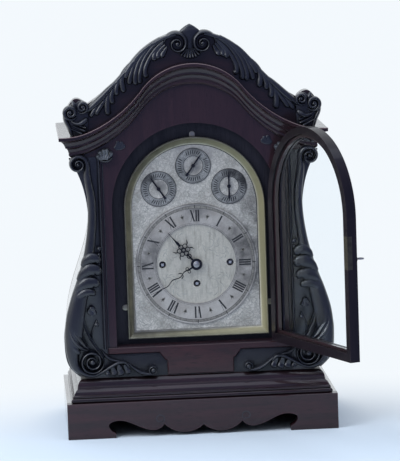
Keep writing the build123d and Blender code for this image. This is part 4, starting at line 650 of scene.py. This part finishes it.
# %% Console ground and rib
SIDE_LINE = ((178, 92), (197, 111), (204, 153), (192, 216), (170, 280), (160, 357), (174, 416), (186, 438))
outer_line = through(np.array(SIDE_LINE) + (8, 0), 70)
console_outline = np.vstack([(146, 94), outer_line[outer_line[:, 1] > 94.5], (194, 440), (146, 440)])
roll_over = spiral(180.5, 430, -36, 1.6, (3, 4.5, 6.5, 8.5, 10, 11, 12, 14), (3, 3.5, 4, 4.5, 5, 6, 7.5, 9),
                   (17, 17, 17, 16, 16, 15, 14, 13), 30)
rib = stroke(np.vstack([roll_over, [
    (166.5, 412, 12, 13), (164.5, 398, 13, 13), (161.5, 378, 13.5, 13), (161.2, 345, 14, 13),
    (164.5, 312, 15, 13), (170, 280, 17, 13), (178, 248, 21, 14), (187, 216, 26, 15), (194, 185, 29, 16),
    (197.5, 153, 27, 16), (199.5, 130, 19, 15), (194, 110, 13, 14), (183, 101, 9, 13), (170, 97.5, 6.5, 13),
    (156, 102, 6, 13), (140, 111, 6, 13), (127, 116.5, 6, 13), (118, 115.5, 5, 12.5),
    (112.5, 109, 3.5, 11)]]), "rib", 260)
inner_rib = stroke([(148.5, z, 5, 8) for z in (439, 360, 250, 138)], "round", 40)
strip_bead = stroke([(142.6, z, 2, 1.4) for z in (428, 330, 230, 132)], "round", 12)
hollow_line = stroke([
    (168, 232, 2, 8), (177, 226, 4, 11), (183, 211, 5, 13), (184, 193, 5, 14), (181, 178, 5, 14),
    (175, 163, 5, 14), (168, 149, 5, 14), (159, 136, 5, 14), (152, 125, 4, 13)], "dish", 70)
volutes = [
    stroke(spiral(169.5, 119, 165, 1.95, (18, 17.2, 16, 14, 11.5, 9.5, 8, 6),
                  (4, 5.5, 6.2, 6.2, 5.8, 5.4, 5, 4), (12, 15, 16, 16, 16, 16.5, 17, 17), 44), "round", 150),
    bead(169.5, 119, 4.8, 17), bead(180.5, 430, 3, 16.5)]
print("console rib follows", len(outer_line), "points of the side")

# %% Console leaves
HUSK_HEIGHTS = (12, 16, 18, 17.5, 15)
husk = [
    stroke(np.column_stack([points, widths, HUSK_HEIGHTS]), "pillow", 48, tip=True) for points, widths in (
        (((179, 270), (173, 279), (164.5, 283.5), (157, 280.5), (154, 274)), (8, 14, 17, 14, 9)),
        (((186, 248), (177, 260), (166.5, 265.5), (158, 263), (155, 255)), (9, 16, 20, 17, 10)),
        (((191, 229), (182, 239), (171, 244.5), (161, 243), (157, 236)), (9, 16, 19, 16, 10)),
        (((195, 217), (185, 225), (175, 230), (166, 229), (161, 224)), (6, 11, 13, 11, 7)))]
husk += [bead(152.6, 297, 3.4, 12), bead(153, 288, 2.6, 11)]
clasp = [
    stroke([(203, 180, 4, 14), (199.5, 167, 13, 17), (192, 154, 17, 19), (183, 144, 13, 18),
            (174, 138, 5, 15)], "vein", 48, tip=True),
    stroke([(204, 163, 3, 13), (201, 151, 9, 15), (196, 141, 10, 16), (188, 133, 5, 14)],
           "pillow", 40, tip=True)]


def springing(root, tips, start, bend, width, height, kind="reed"):
    """Fingers from one root to each tip (dx, dz): they start and bend at shares of the way across and up."""
    shares = np.array((start, bend, (1, 1)))
    return [finger(root + shares * way, width, height, kind) for way in np.array(tips)]


sprig = springing((168, 193), ((6.5, 8), (-2, 14), (-8, 5)), (0, 0), (0.4, 0.6), 10.5, 9.5, "pillow")
sprig += [
    bead(160.5, 177, 3.6, 9),
    stroke([(160, 184, 3, 7), (165, 174, 3, 8), (168.5, 164, 3, 9), (167.5, 151, 3, 9), (163, 140, 3, 9)],
           "round", 40)]
corner_leaf = springing((124, 449), ((-8, 14), (-14, 13), (-18, 8)), (0.2, 0.2), (0.7, 0.5), 6.5, 1.6)
capital = springing((139, 436), ((11, 8), (6.5, 14.5), (0.5, 17), (-5.5, 17), (-11, 12.5)), (0.3, 0),
                    (0.8, 0.55), 7.5, 12, "pillow")
# The leaf capitals take the pale carved finish, a painted highlight.
piece("console_capitals", mirrored(capital), "case", carved_painted_highlight)
collar = stroke([
    (149, 438, 3, 9), (144, 434, 4.5, 11), (138, 433, 5, 12), (132, 434, 4.5, 11), (127, 438, 3, 9)])
console = [plate(console_outline, 2, 0.8), rib, inner_rib, strip_bead, hollow_line]
console += volutes + husk + clasp + sprig + corner_leaf + [collar]
piece("scroll_consoles", mirrored(console), "case", carved_mahogany, ["consoles"])

# %% [markdown]
# Between the consoles and the raised panel the bottom rail carries running leaf scrolls: the rib runs
# on into a small volute, with short leaves below. The ground behind them was punched all over so that the
# scrolls stand out, which here is a thin plate with a fine, strong bump.

# %% Toe scrolls
GROUND_OUTLINE = ((52.6, 92.6), (144.5, 92.6), (144.5, 128.4), (63.4, 128.4), (55.4, 117.2), (52.6, 114))
piece("toe_punched_ground", mirrored([plate(GROUND_OUTLINE, 0.8, 0.3)]), "case", punched_ground)
toe = [
    stroke([(154, 136, 3, 9), (148, 127.5, 6, 11), (138, 121, 6, 11), (126, 118, 4, 10)], "round", 40),
    stroke([(114, 114, 3, 9), (104, 105.5, 6, 11), (95, 99.5, 7.5, 12), (85, 96.5, 7.5, 12),
            (75, 96, 5.5, 12)], "round", 50),
    stroke(spiral(74.5, 102, -80, 1.35, (6.5, 6.2, 5.2, 4, 2.8), (5, 4.2, 4, 3.6, 3), (12, 13, 14, 14, 14)),
           "round", 60),
    bead(74.5, 102, 4.2, 15)]
toe += [finger(points, width, 11, "pillow") for points, width in (
    (((148, 106), (147, 102), (145, 97)), 9), (((139, 110), (137, 103), (134.5, 96)), 11),
    (((129, 113), (127, 104), (123.5, 95.5)), 11.5), (((120, 113), (116, 105), (112, 97.5)), 10))]
piece("toe_leaf_scrolls", mirrored(toe), "case", carved_mahogany, ["toe_scrolls"])

# %% [markdown]
# The base moulding runs round three sides of the case, mitred at the front corners: from the plinth up, an
# ovolo, a bead, a cavetto, a fillet and a broad soft cyma. A plain rail joins its two sides at the back. A
# curve with a profile would do it too, but points given by inset and height make the mitres exact.

# %% Base moulding
BASE_HEIGHT, BASE_DEPTH = 36, 60
BASE_PROFILE = np.array([
    (BASE_DEPTH, 0), (8.6, 0), (7.4, 1.2), (7, 2.8), (7.3, 4.6), (8.3, 6.2), (9.8, 7.1), (10.4, 7.3),
    (9.9, 7.9), (9.6, 9.1), (9.9, 10.5), (10.9, 11.6), (12, 12), (12.3, 12.6), (12.8, 14.4), (13.8, 16.4),
    (15.2, 18.3), (16.8, 19.9), (17.4, 20.5), (17.5, 22.6), (18, 23), (18, 24.6), (18.3, 26.8), (19.2, 29.4),
    (20.8, 32), (22.8, 34.2), (24.6, 35.5), (26, BASE_HEIGHT), (BASE_DEPTH, BASE_HEIGHT)])
PLINTH_HALF, PLINTH_FRONT, PLINTH_BACK, PLINTH_TOP = 212.0, -269.0, 9.0, 56.0


def base_run(profile):
    """Each profile point (inset, height) runs along the left side, the front and the right side, mitred."""
    inset, height = profile.T
    x = np.outer((-1, -1, 1, 1), PLINTH_HALF - inset)
    ends = np.full(inset.shape, PLINTH_BACK)
    y = np.stack([ends, PLINTH_FRONT + inset, PLINTH_FRONT + inset, ends])
    return loft(np.stack([x, y, np.broadcast_to(PLINTH_TOP + height, x.shape)], -1))


rail_half, rail_top = PLINTH_HALF - BASE_DEPTH, PLINTH_TOP + BASE_HEIGHT
rail_outline = (
    (-rail_half, PLINTH_TOP), (rail_half, PLINTH_TOP), (rail_half, rail_top), (-rail_half, rail_top))
back_rail = plate(rail_outline, 29.5, face=PLINTH_BACK - 0.5)
piece("base_moulding_run", [base_run(BASE_PROFILE), back_rail], "case", mahogany_level,
      ["base_mouldings"], 28)

# %% [markdown]
# The dial's figures are cut into the silvered rings and filled with black wax. Each is made as a thin solid
# that stands a hair above the ring: straight strokes for the numerals, rings and ticks for the tracks. A
# painted mask could show them as well, but solids stay sharp at any distance.

# %% Dial marks
def slabs(corners, front, depth=0.25):
    """Flat four-sided marks: corners (n, 4, 2) in (x, z) become solids from the front plane back."""
    near = np.insert(corners, 1, front, axis=2)
    far = np.insert(corners, 1, front + depth, axis=2)
    points = np.concatenate([near, far], 1).reshape(-1, 3)
    faces = np.array(((0, 1, 2, 3), (7, 6, 5, 4), (0, 4, 5, 1), (1, 5, 6, 2), (2, 6, 7, 3), (3, 7, 4, 0)))
    return points, (faces[None] + 8 * np.arange(len(corners))[:, None, None]).reshape(-1, 4).tolist()


def ring(centre, inner, outer, front, depth=0.25, sides=120):
    """A flat ring: four corners of its section turned about the centre, closed on itself."""
    turn = np.linspace(0, 2 * math.pi, sides, endpoint=False)[:, None]
    radius = np.array((inner, outer, outer, inner))
    y = np.array((front, front, front + depth, front + depth))
    x = centre[0] + np.sin(turn) * radius
    return wrapped(np.stack([x, y + 0 * turn, centre[1] + np.cos(turn) * radius], -1))


def clockwise(side, out, angle, centre):
    """The x and z of places drawn upright (side, out from the centre) and turned about the centre."""
    x = centre[0] + side * np.cos(angle) + out * np.sin(angle)
    return x, centre[1] - side * np.sin(angle) + out * np.cos(angle)


def around(marks, degrees, centre):
    """The upright marks (n, 4, 2) repeated at every angle about the centre."""
    marks = np.asarray(marks, float)
    angles = np.radians(np.asarray(degrees, float))[:, None, None]
    return np.stack(clockwise(marks[..., 0], marks[..., 1], angles, centre), -1).reshape(-1, 4, 2)


def bar(x0, x1, width, low, high):
    """A straight stroke from (x0, low) to (x1, high), as wide as given."""
    w = width / 2
    return [(x0 - w, low), (x0 + w, low), (x1 + w, high), (x1 - w, high)]


# %% Numerals
NUMERALS = ("XII", "I", "II", "III", "IIII", "V", "VI", "VII", "VIII", "IX", "X", "XI")
LETTER_WIDTH = {"I": 3.6, "V": 7.4, "X": 8.2}
THICK, THIN, SERIF, SERIF_REACH = 2.5, 0.5, 0.4, 1.1


def numeral(letters, low=67.3, high=85.7):
    """Thick and thin strokes of a Roman numeral side by side, with a fine serif at their ends."""
    strokes, x = [], -sum(LETTER_WIDTH[letter] for letter in letters) / 2
    for letter in letters:
        middle = x + LETTER_WIDTH[letter] / 2
        reach = LETTER_WIDTH[letter] / 2 - 1.4
        slants = {"I": [(0, 0, THICK)], "V": [(-reach, 0, THICK), (reach, 0, THIN)],
                  "X": [(-reach, reach, THICK), (reach, -reach, THIN)]}[letter]
        for top, foot, width in slants:
            strokes.append(bar(middle + foot, middle + top, width, low, high))
            strokes.append(bar(middle + top, middle + top, width + SERIF_REACH, high - SERIF, high))
            if letter != "V":
                strokes.append(bar(middle + foot, middle + foot, width + SERIF_REACH, low, low + SERIF))
        x += LETTER_WIDTH[letter]
    return np.array(strokes)


RING_FRONT, BAND_FRONT, SMALL_FRONT, PLATE_FRONT = -219.55, -219.46, -218.75, -217.68
hours = np.arange(12) * 30
numerals = np.concatenate([
    around(numeral(letters), [angle], DIAL) for angle, letters in zip(hours, NUMERALS)])
minute_ticks = around([bar(0, 0, 0.4, 88.6, 91.6)], np.arange(60) * 6, DIAL)
five_ticks = around([bar(0, 0, 1.1, 88.6, 93.6)], hours, DIAL)
tracks = [ring(DIAL, r, r + w, RING_FRONT)
          for r, w in ((63.0, 0.4), (65.0, 0.3), (87.8, 0.4), (91.8, 0.4), (94.9, 0.35))]
marks = [slabs(mark, RING_FRONT) for mark in (numerals, minute_ticks, five_ticks)]
piece("dial_figures", marks + tracks, "case", wax)

# %% [markdown]
# A dulled band lies under the minute track, and a small lily stands between each two hours. The three small
# rings above have a heavy rim and groups of short strokes. Each winding hole has a black rim. All of them are
# made with the same rings and slabs as the figures.

# %% Minute band and small tracks
lilies = np.concatenate([around([outline], hours + 15, DIAL) for outline in (
    [(-2.0, 76), (0, 71.2), (2.0, 76), (0, 82)], [(-4.2, 79.4), (0, 74.8), (4.2, 79.4), (0, 77.6)])])
band = [ring(DIAL, 88.1, 91.9, BAND_FRONT, 0.3), slabs(lilies, RING_FRONT)]
piece("minute_band", band, "case", worn_wax)
SMALL_DIALS = ((-55.3, 383.0), (55.3, 383.0), (0.0, 417.5))
WINDING_HOLES = ((-53.2, 263.0), (53.2, 263.0), (0.0, 231.4))
stroke_angles = np.concatenate([middle + np.arange(-3, 4) * 9.0 for middle in (0, 90, 180, 270)])
small = [ring(hole, 5.0, 5.5, PLATE_FRONT, sides=40) for hole in WINDING_HOLES]
for centre in SMALL_DIALS:
    small += [ring(centre, r, r + w, SMALL_FRONT, sides=72)
              for r, w in ((15.1, 0.8), (17.6, 0.3), (25.4, 0.4), (26.9, 1.1))]
    small += [slabs(around([bar(-0.6, 0.6, 1.5, 18.6, 24.4)], stroke_angles, centre), SMALL_FRONT)]
piece("small_dial_tracks", small, "case", wax)

# %% [markdown]
# The bezel is an arched brass frame that slopes in to the dial. It is held by three short rounded lugs. Its
# section runs once round the arch, mitred in the two lower corners. Cutting an opening in a plate would leave
# square edges, so the slope and its eased rim are part of the section.

# %% Bezel
BEZEL_HALF, BEZEL_BOTTOM, BEZEL_SPRING, BEZEL_BACK = 110.5, 148.4, 353.0, -218.0
BEZEL_SECTION = (
    (0, BEZEL_BACK), (0, -225.2), (0.3, -225.8), (0.8, -226), (1.5, -226), (2.2, -225.3), (11, -219.4),
    (12, -219), (12, BEZEL_BACK))
LUG_REACH, LUG_RADIUS, LUG_ROOT = 4.0, 4.4, 6.5


def arched(inset, sides=48):
    """An outline in (x, z), inside the bezel's by the inset: a level foot, two uprights and a half circle."""
    half = BEZEL_HALF - inset
    turn = np.linspace(0, math.pi, sides)
    arc = np.stack([half * np.cos(turn), BEZEL_SPRING + half * np.sin(turn)], 1)
    return np.vstack([[(-half, BEZEL_BOTTOM + inset), (half, BEZEL_BOTTOM + inset)], arc])


def lug(x, z, way):
    """A flat tab with a round end, from under the bezel at (x, z) out in the direction way (degrees)."""
    a = np.radians(np.linspace(way - 90, way + 90, 15))
    out = np.array((math.cos(math.radians(way)), math.sin(math.radians(way))))
    end = (x, z) + LUG_REACH * out + LUG_RADIUS * np.stack([np.cos(a), np.sin(a)], 1)
    return plate(np.vstack([end, end[[-1, 0]] - LUG_ROOT * out]), 1.5, 0.4, BEZEL_BACK)


around_arch = np.stack([np.insert(arched(inset), 1, y, axis=1) for inset, y in BEZEL_SECTION], 1)
lugs = [lug(0, BEZEL_SPRING + BEZEL_HALF, 90), lug(BEZEL_HALF, 198, 0), lug(-BEZEL_HALF, 198, 180)]
piece("dial_bezel_frame", [wrapped(around_arch)] + lugs, "case", bezel_brass, ["dial_bezel"])

# %% [markdown]
# Leaf scrolls are engraved over the plate, densest in the corners. Each is a fine flat line that winds in,
# with short leaves springing from its outer side, as engravers fill a spandrel. The same flat line makes the
# curls cut in the apron and a painted shadow: a black strip along the bezel's inner edge, where its shade
# falls on the plate.

# %% Flat lines
def flat_form(rows, count, u, y, least):
    """A grid along rows of (x, z, width): at every station the section (u, y) stands across the line."""
    x, z = ribbon(through(rows, count), np.array(u), least)
    return np.stack([x, np.broadcast_to(y, x.shape), z], -1)


def cut_line(rows, front, depth=0.2, count=40):
    """A flat engraved line: rows are (x, z, width), and the section is a thin oblong across the line."""
    return loft(flat_form(rows, count, (-1, 1, 1, -1), (front, front, front + depth, front + depth), 0.12))


# %% Apron curls and painted shadow at the bezel
curl_rows = spiral(67.7, 27.3, 250, -1.1, (7, 6.6, 5.6, 3.6), (0.8, 1.5, 1.5, 0.8), (1, 1))[:, :3]
piece("apron_curls", mirrored([cut_line(curl_rows, PLINTH_FRONT - 0.1)]), "case", carved_mahogany)
# A painted shadow: a thin black strip along the top and right of the bezel's inner edge, widest on the right.
GAP_INSET = 12.6
gap_x = BEZEL_HALF - GAP_INSET
gap = np.vstack([arched(GAP_INSET)[-1:1:-1], (gap_x, 260), (gap_x, 165)])
gap_end = len(gap) - 1
gap_widths = np.interp(np.arange(len(gap)), (0, 14, 30, gap_end - 1, gap_end), (0.2, 0.8, 1.3, 1.3, 0.2))
painted_shadow_line = cut_line(np.column_stack([gap, gap_widths]), PLATE_FRONT, count=90)
piece("bezel_painted_shadow", [painted_shadow_line], "case", wax)

# %% Engraved scrolls
def leaf_scroll(x, z, size, start, turns):
    """A scroll of that size about (x, z), and six leaf cuts that leave it at even steps on its outer turn."""
    radii = size * np.array((1, 0.8, 0.5, 0.18))
    rows = spiral(x, z, start, turns, radii, (0.5, 1.0, 0.9, 0.4), (1, 1), 22)[:, :3]
    shells = [cut_line(rows, PLATE_FRONT)]
    hand = math.copysign(1, turns)
    for step in range(6):
        a = math.radians(start) + hand * (0.2 + 0.75 * step + np.array((0, 0.45, 0.7)))
        r = size * (1 - 0.04 * step) * np.array((1, 1.25, 1.42))
        points = np.column_stack([x + r * np.cos(a), z + r * np.sin(a), (0.5, 1.3, 0.3)])
        shells.append(cut_line(points, PLATE_FRONT, count=12))
    return shells


SCROLLS = (
    (80, 178, 11, 90, 1.7), (88, 200, 6, 200, -1.5), (62, 170, 6, 0, 1.5), (92, 224, 5, 250, 1.4),
    (40, 165, 4, 30, -1.3), (88, 335, 8, 270, -1.6), (92, 312, 5, 120, 1.4), (78, 352, 5, 10, 1.4),
    (34, 369, 6, 180, 1.5), (28, 392, 5, 60, -1.4), (89, 370, 5, 300, 1.5), (60, 420, 7, 220, -1.5),
    (42, 436, 6, 140, 1.5), (80, 405, 5, 200, 1.4), (12, 372, 5, 0, 1.4), (22, 298, 13, 200, 0.6),
    (40, 280, 9, 70, -0.5), (26, 226, 13, 130, -0.55), (42, 238, 8, -20, 0.5))
engraving = [shell for row in SCROLLS for shell in leaf_scroll(*row)]
piece("engraved_scrolls", mirrored(engraving), "case", faint_wax)

# %% [markdown]
# The hands are pierced from thin steel and blued. Each is drawn along its own length and then turned to its
# hour: a rosette of loops and a spear for the hour, and a thin winding blade for the minutes. Boolean cuts
# could pierce a plate, but strokes with a width give the same fret with a clean bevel.

# %% Forms of a hand
def blade(rows, back, front, count):
    """A flat steel form along rows of (side, out, width): back and front faces with a small bevel between."""
    y = (front + 0.25, front, front, front + 0.25, back, back)
    return flat_form(rows, count, (-1, -0.8, 0.8, 1, 1, -1), y, 0.3)


def set_hand(forms, degrees):
    """The drawn forms turned clockwise about the centre of the dial, each lofted into a shell."""
    shells = []
    for form in forms:
        x, z = clockwise(form[..., 0], form[..., 2], math.radians(degrees), DIAL)
        shells.append(loft(np.stack([x, form[..., 1], z], -1)))
    return shells


def loop(side, out, radius, width):
    """Rows of a small pierced ring that closes on itself."""
    t = np.linspace(0, 2 * math.pi, 17)
    return np.stack([side + radius * np.sin(t), out + radius * np.cos(t), np.full(17, width)], 1)


def pair(rows):
    """A form and its image on the other side of the hand."""
    rows = np.asarray(rows, float)
    return [rows, rows * (-1, 1, 1)]


# %% Hour and minute hands
hour_rows = [
    loop(0, 0, 6.6, 4), [(0, 7, 3.6), (0, 13, 2.6), (0, 22, 2)], loop(0, 17, 3.2, 1.4), loop(0, 30, 2.6, 1.3),
    [(0, 38, 2.6), (0, 43, 4.2), (0, 51, 2), (0, 67, 0.5)]]
PETAL_OUT = 6.8
for a in np.radians(np.arange(6) * 60):
    hour_rows.append(loop(PETAL_OUT * math.sin(a), 30 + PETAL_OUT * math.cos(a), 3.3, 1.3))
hour_rows += pair([(9, 33, 1), (12, 35, 1.7), (14.5, 39.5, 0.5)])
hour_rows += pair([(9, 27, 1), (12, 25, 1.7), (14, 20.5, 0.5)])
minute_rows = [loop(0, 0, 7, 4.2), [
    (0, 6, 3.4), (0, 13, 2.4), (1.6, 22, 1.6), (-1.5, 33, 1.4), (1.8, 45, 1.4), (-1.6, 57, 1.3),
    (0.6, 69, 1.2), (0, 86, 0.5)]]
minute_rows += pair(loop(2.7, 16, 2.2, 1.1)) + pair([(1, 27, 1.2), (3.6, 29, 1.6), (5, 33, 0.5)])
HOUR_ANGLE, HOUR_BACK, HOUR_FRONT = 319.67, -220.8, -221.8
MINUTE_ANGLE, MINUTE_BACK, MINUTE_FRONT = 236, -223.2, -224.2
hour_forms = [blade(rows, HOUR_BACK, HOUR_FRONT, 40) for rows in hour_rows]
minute_forms = [blade(rows, MINUTE_BACK, MINUTE_FRONT, 48) for rows in minute_rows]
piece("hour_hand_fret", set_hand(hour_forms, HOUR_ANGLE), "hour_hand", blued_steel,
      ["hour_hand"])
piece("minute_hand_fret", set_hand(minute_forms, MINUTE_ANGLE), "minute_hand", blued_steel,
      ["minute_hand"])
collet = [bead(*DIAL, 5.2, 1.4, face=MINUTE_FRONT), bead(*DIAL, 3.0, 2.8, face=MINUTE_FRONT + 0.6)]
piece("hand_collet", collet, "minute_hand", steel)

# %% [markdown]
# The camera stands about five metres off, a little to the left and above, with a long lens. Its place and
# turn were fitted to points on the clock, so they are given as numbers instead of being set by eye.

# %% Camera
FOCAL_PX, PICTURE_PX, SENSOR = 3103.609, 461, 36
CAMERA_PLACE = np.array((-280.137, -5037.944, 932.615))
yaw, pitch, roll = np.radians((3.41618, 7.29109, -1.95752))
ahead = np.array((math.sin(yaw) * math.cos(pitch), math.cos(yaw) * math.cos(pitch), -math.sin(pitch)))
level = np.array((math.cos(yaw), -math.sin(yaw), 0))
upward = np.cross(level, ahead)
lens = bpy.data.cameras.new("camera")
lens.sensor_fit = "VERTICAL"
lens.sensor_height = SENSOR
lens.sensor_width = SENSOR
lens.lens = FOCAL_PX * SENSOR / PICTURE_PX
lens.clip_end = 100
camera = bpy.data.objects.new("camera", lens)
bpy.context.scene.collection.objects.link(camera)
placed = np.eye(4)
placed[:3, 0] = math.cos(roll) * level + math.sin(roll) * upward
placed[:3, 1] = math.cos(roll) * upward - math.sin(roll) * level
placed[:3, 2] = -ahead
placed[:3, 3] = CAMERA_PLACE * MM
camera.matrix_world = Matrix(placed.tolist())
bpy.context.scene.camera = camera
print("camera lens", round(lens.lens, 1), "mm")

# %% [markdown]
# The clock stands on a pale floor in a white room. The floor is matt near the clock, so that it keeps the
# shadow, and further off it is the room's own white. Polished faces would mirror an all-white room, so for
# them alone the room is dim overhead and on the camera's side, as if behind a dark screen.

# %% Room colours
ROOM_WHITE = (0.90, 0.945, 0.985)
DIM_FRONT = (0.19, 0.225, 0.44)


def seen_rays(tree):
    """Two masks: rays sent out by the eye, the glass or a polished face, and those of eye and glass alone."""
    rays = add_node(tree, "ShaderNodeLightPath").outputs
    clear = calc(tree, "MAXIMUM", rays["Is Camera Ray"], rays["Is Transmission Ray"])
    return calc(tree, "MAXIMUM", clear, rays["Is Glossy Ray"]), clear


def room_colour(tree, place, clear, near, far):
    """The room's white, but dim blue for polished faces overhead, towards the eye and to its right."""
    lit = vector_calc(tree, "DOT_PRODUCT", place, (-0.4, 0.92, -0.8))
    side = ramp(tree, lit, near, far, ease="SMOOTHSTEP")
    return blend(tree, calc(tree, "MAXIMUM", side, clear), DIM_FRONT, ROOM_WHITE)


# %% Floor
FLOOR_COLOUR = (0.655, 0.725, 0.82, 1)


def floor_disc(radius, sides=64):
    """A flat disc on the table plane: one face with its corners evenly round a circle."""
    turn = np.linspace(0, 2 * math.pi, sides, endpoint=False)
    circle = np.stack([np.cos(turn), np.sin(turn), 0 * turn], 1)
    mesh = bpy.data.meshes.new("floor")
    mesh.from_pydata(circle * radius, [], [list(range(sides))])
    made = bpy.data.objects.new("floor", mesh)
    bpy.context.scene.collection.objects.link(made)
    return made


def floor_paint():
    """Pale and matt under the clock and in front of it, and the room's own white further off."""
    finish, tree, place = new_finish("pale_floor")
    finished(finish, {"Base Color": FLOOR_COLOUR, "Roughness": 0.8})
    off_front = ramp(tree, vector_calc(tree, "DISTANCE", place, (0, -0.5, 0)), 0.25, 0.8, ease="SMOOTHSTEP")
    off_clock = ramp(tree, vector_calc(tree, "DISTANCE", place, (0, -0.13, 0)), 0.2, 0.29, ease="SMOOTHSTEP")
    seen, clear = seen_rays(tree)
    white = add_node(tree, "ShaderNodeEmission", {"Color": room_colour(tree, place, clear, -0.9, -0.35)})
    share = calc(tree, "MULTIPLY", calc(tree, "MULTIPLY", off_front, off_clock), seen)
    mix = add_node(tree, "ShaderNodeMixShader", {
        "Fac": share, 1: tree.nodes["Principled BSDF"].outputs["BSDF"], 2: white.outputs["Emission"]})
    feed(tree, tree.nodes["Material Output"], {"Surface": mix.outputs["Shader"]})
    return finish


floor = floor_disc(12)
floor.data.materials.append(floor_paint())
print("floor:", len(floor.data.vertices), "corners")

# %% White room
FILL_LOW, FILL_HIGH = (0.16, 0.178, 0.20), (0.82, 0.91, 1.0)


def white_room():
    """White to the eye on every side; its light comes mostly from above, and polished faces see it dimmed."""
    world = bpy.data.worlds.new("white_room")
    world.use_nodes = True
    tree = world.node_tree
    place = add_node(tree, "ShaderNodeTexCoord").outputs["Generated"]
    height = add_node(tree, "ShaderNodeSeparateXYZ", {0: place}).outputs["Z"]
    fill = tree.nodes["Background"]
    light = blend(tree, ramp(tree, height, 0.05, 0.5), FILL_LOW, FILL_HIGH)
    feed(tree, fill, {"Color": light, "Strength": 0.8})
    seen, clear = seen_rays(tree)
    shown = add_node(tree, "ShaderNodeBackground", {"Color": room_colour(tree, place, clear, -0.95, -0.1)})
    choice = add_node(tree, "ShaderNodeMixShader", {
        "Fac": seen, 1: fill.outputs["Background"], 2: shown.outputs["Background"]})
    feed(tree, tree.nodes["World Output"], {"Surface": choice.outputs["Shader"]})
    return world


bpy.context.scene.world = white_room()
print("room:", bpy.context.scene.world.name)

# %% [markdown]
# One large soft lamp above and to the left models the carving and throws the shadow to the right. A larger
# one overhead, a little bluer, lights the tops of the mouldings. Large lamps keep highlights on polish low.

# %% Lamps
LAMP_TARGET = (0, -0.15, 0.3)


def soft_lamp(name, place, size, power, colour):
    """A square lamp at place, in metres, that faces the middle of the clock."""
    lamp = bpy.data.lights.new(name, "AREA")
    lamp.size = size
    lamp.energy = power
    lamp.color = colour
    made = bpy.data.objects.new(name, lamp)
    bpy.context.scene.collection.objects.link(made)
    turn = (Vector(LAMP_TARGET) - Vector(place)).to_track_quat("-Z", "Y")
    made.matrix_world = Matrix.Translation(place) @ turn.to_matrix().to_4x4()


soft_lamp("key_lamp", (-2.0, -1.6, 2.1), 2.0, 57, (0.91, 0.96, 1.0))
soft_lamp("top_lamp", (-0.2, -0.6, 2.6), 3.0, 32, (0.82, 0.91, 1.0))
bpy.context.scene.view_settings.view_transform = "Standard"
print("lamps:", [lamp.name for lamp in bpy.data.lights])
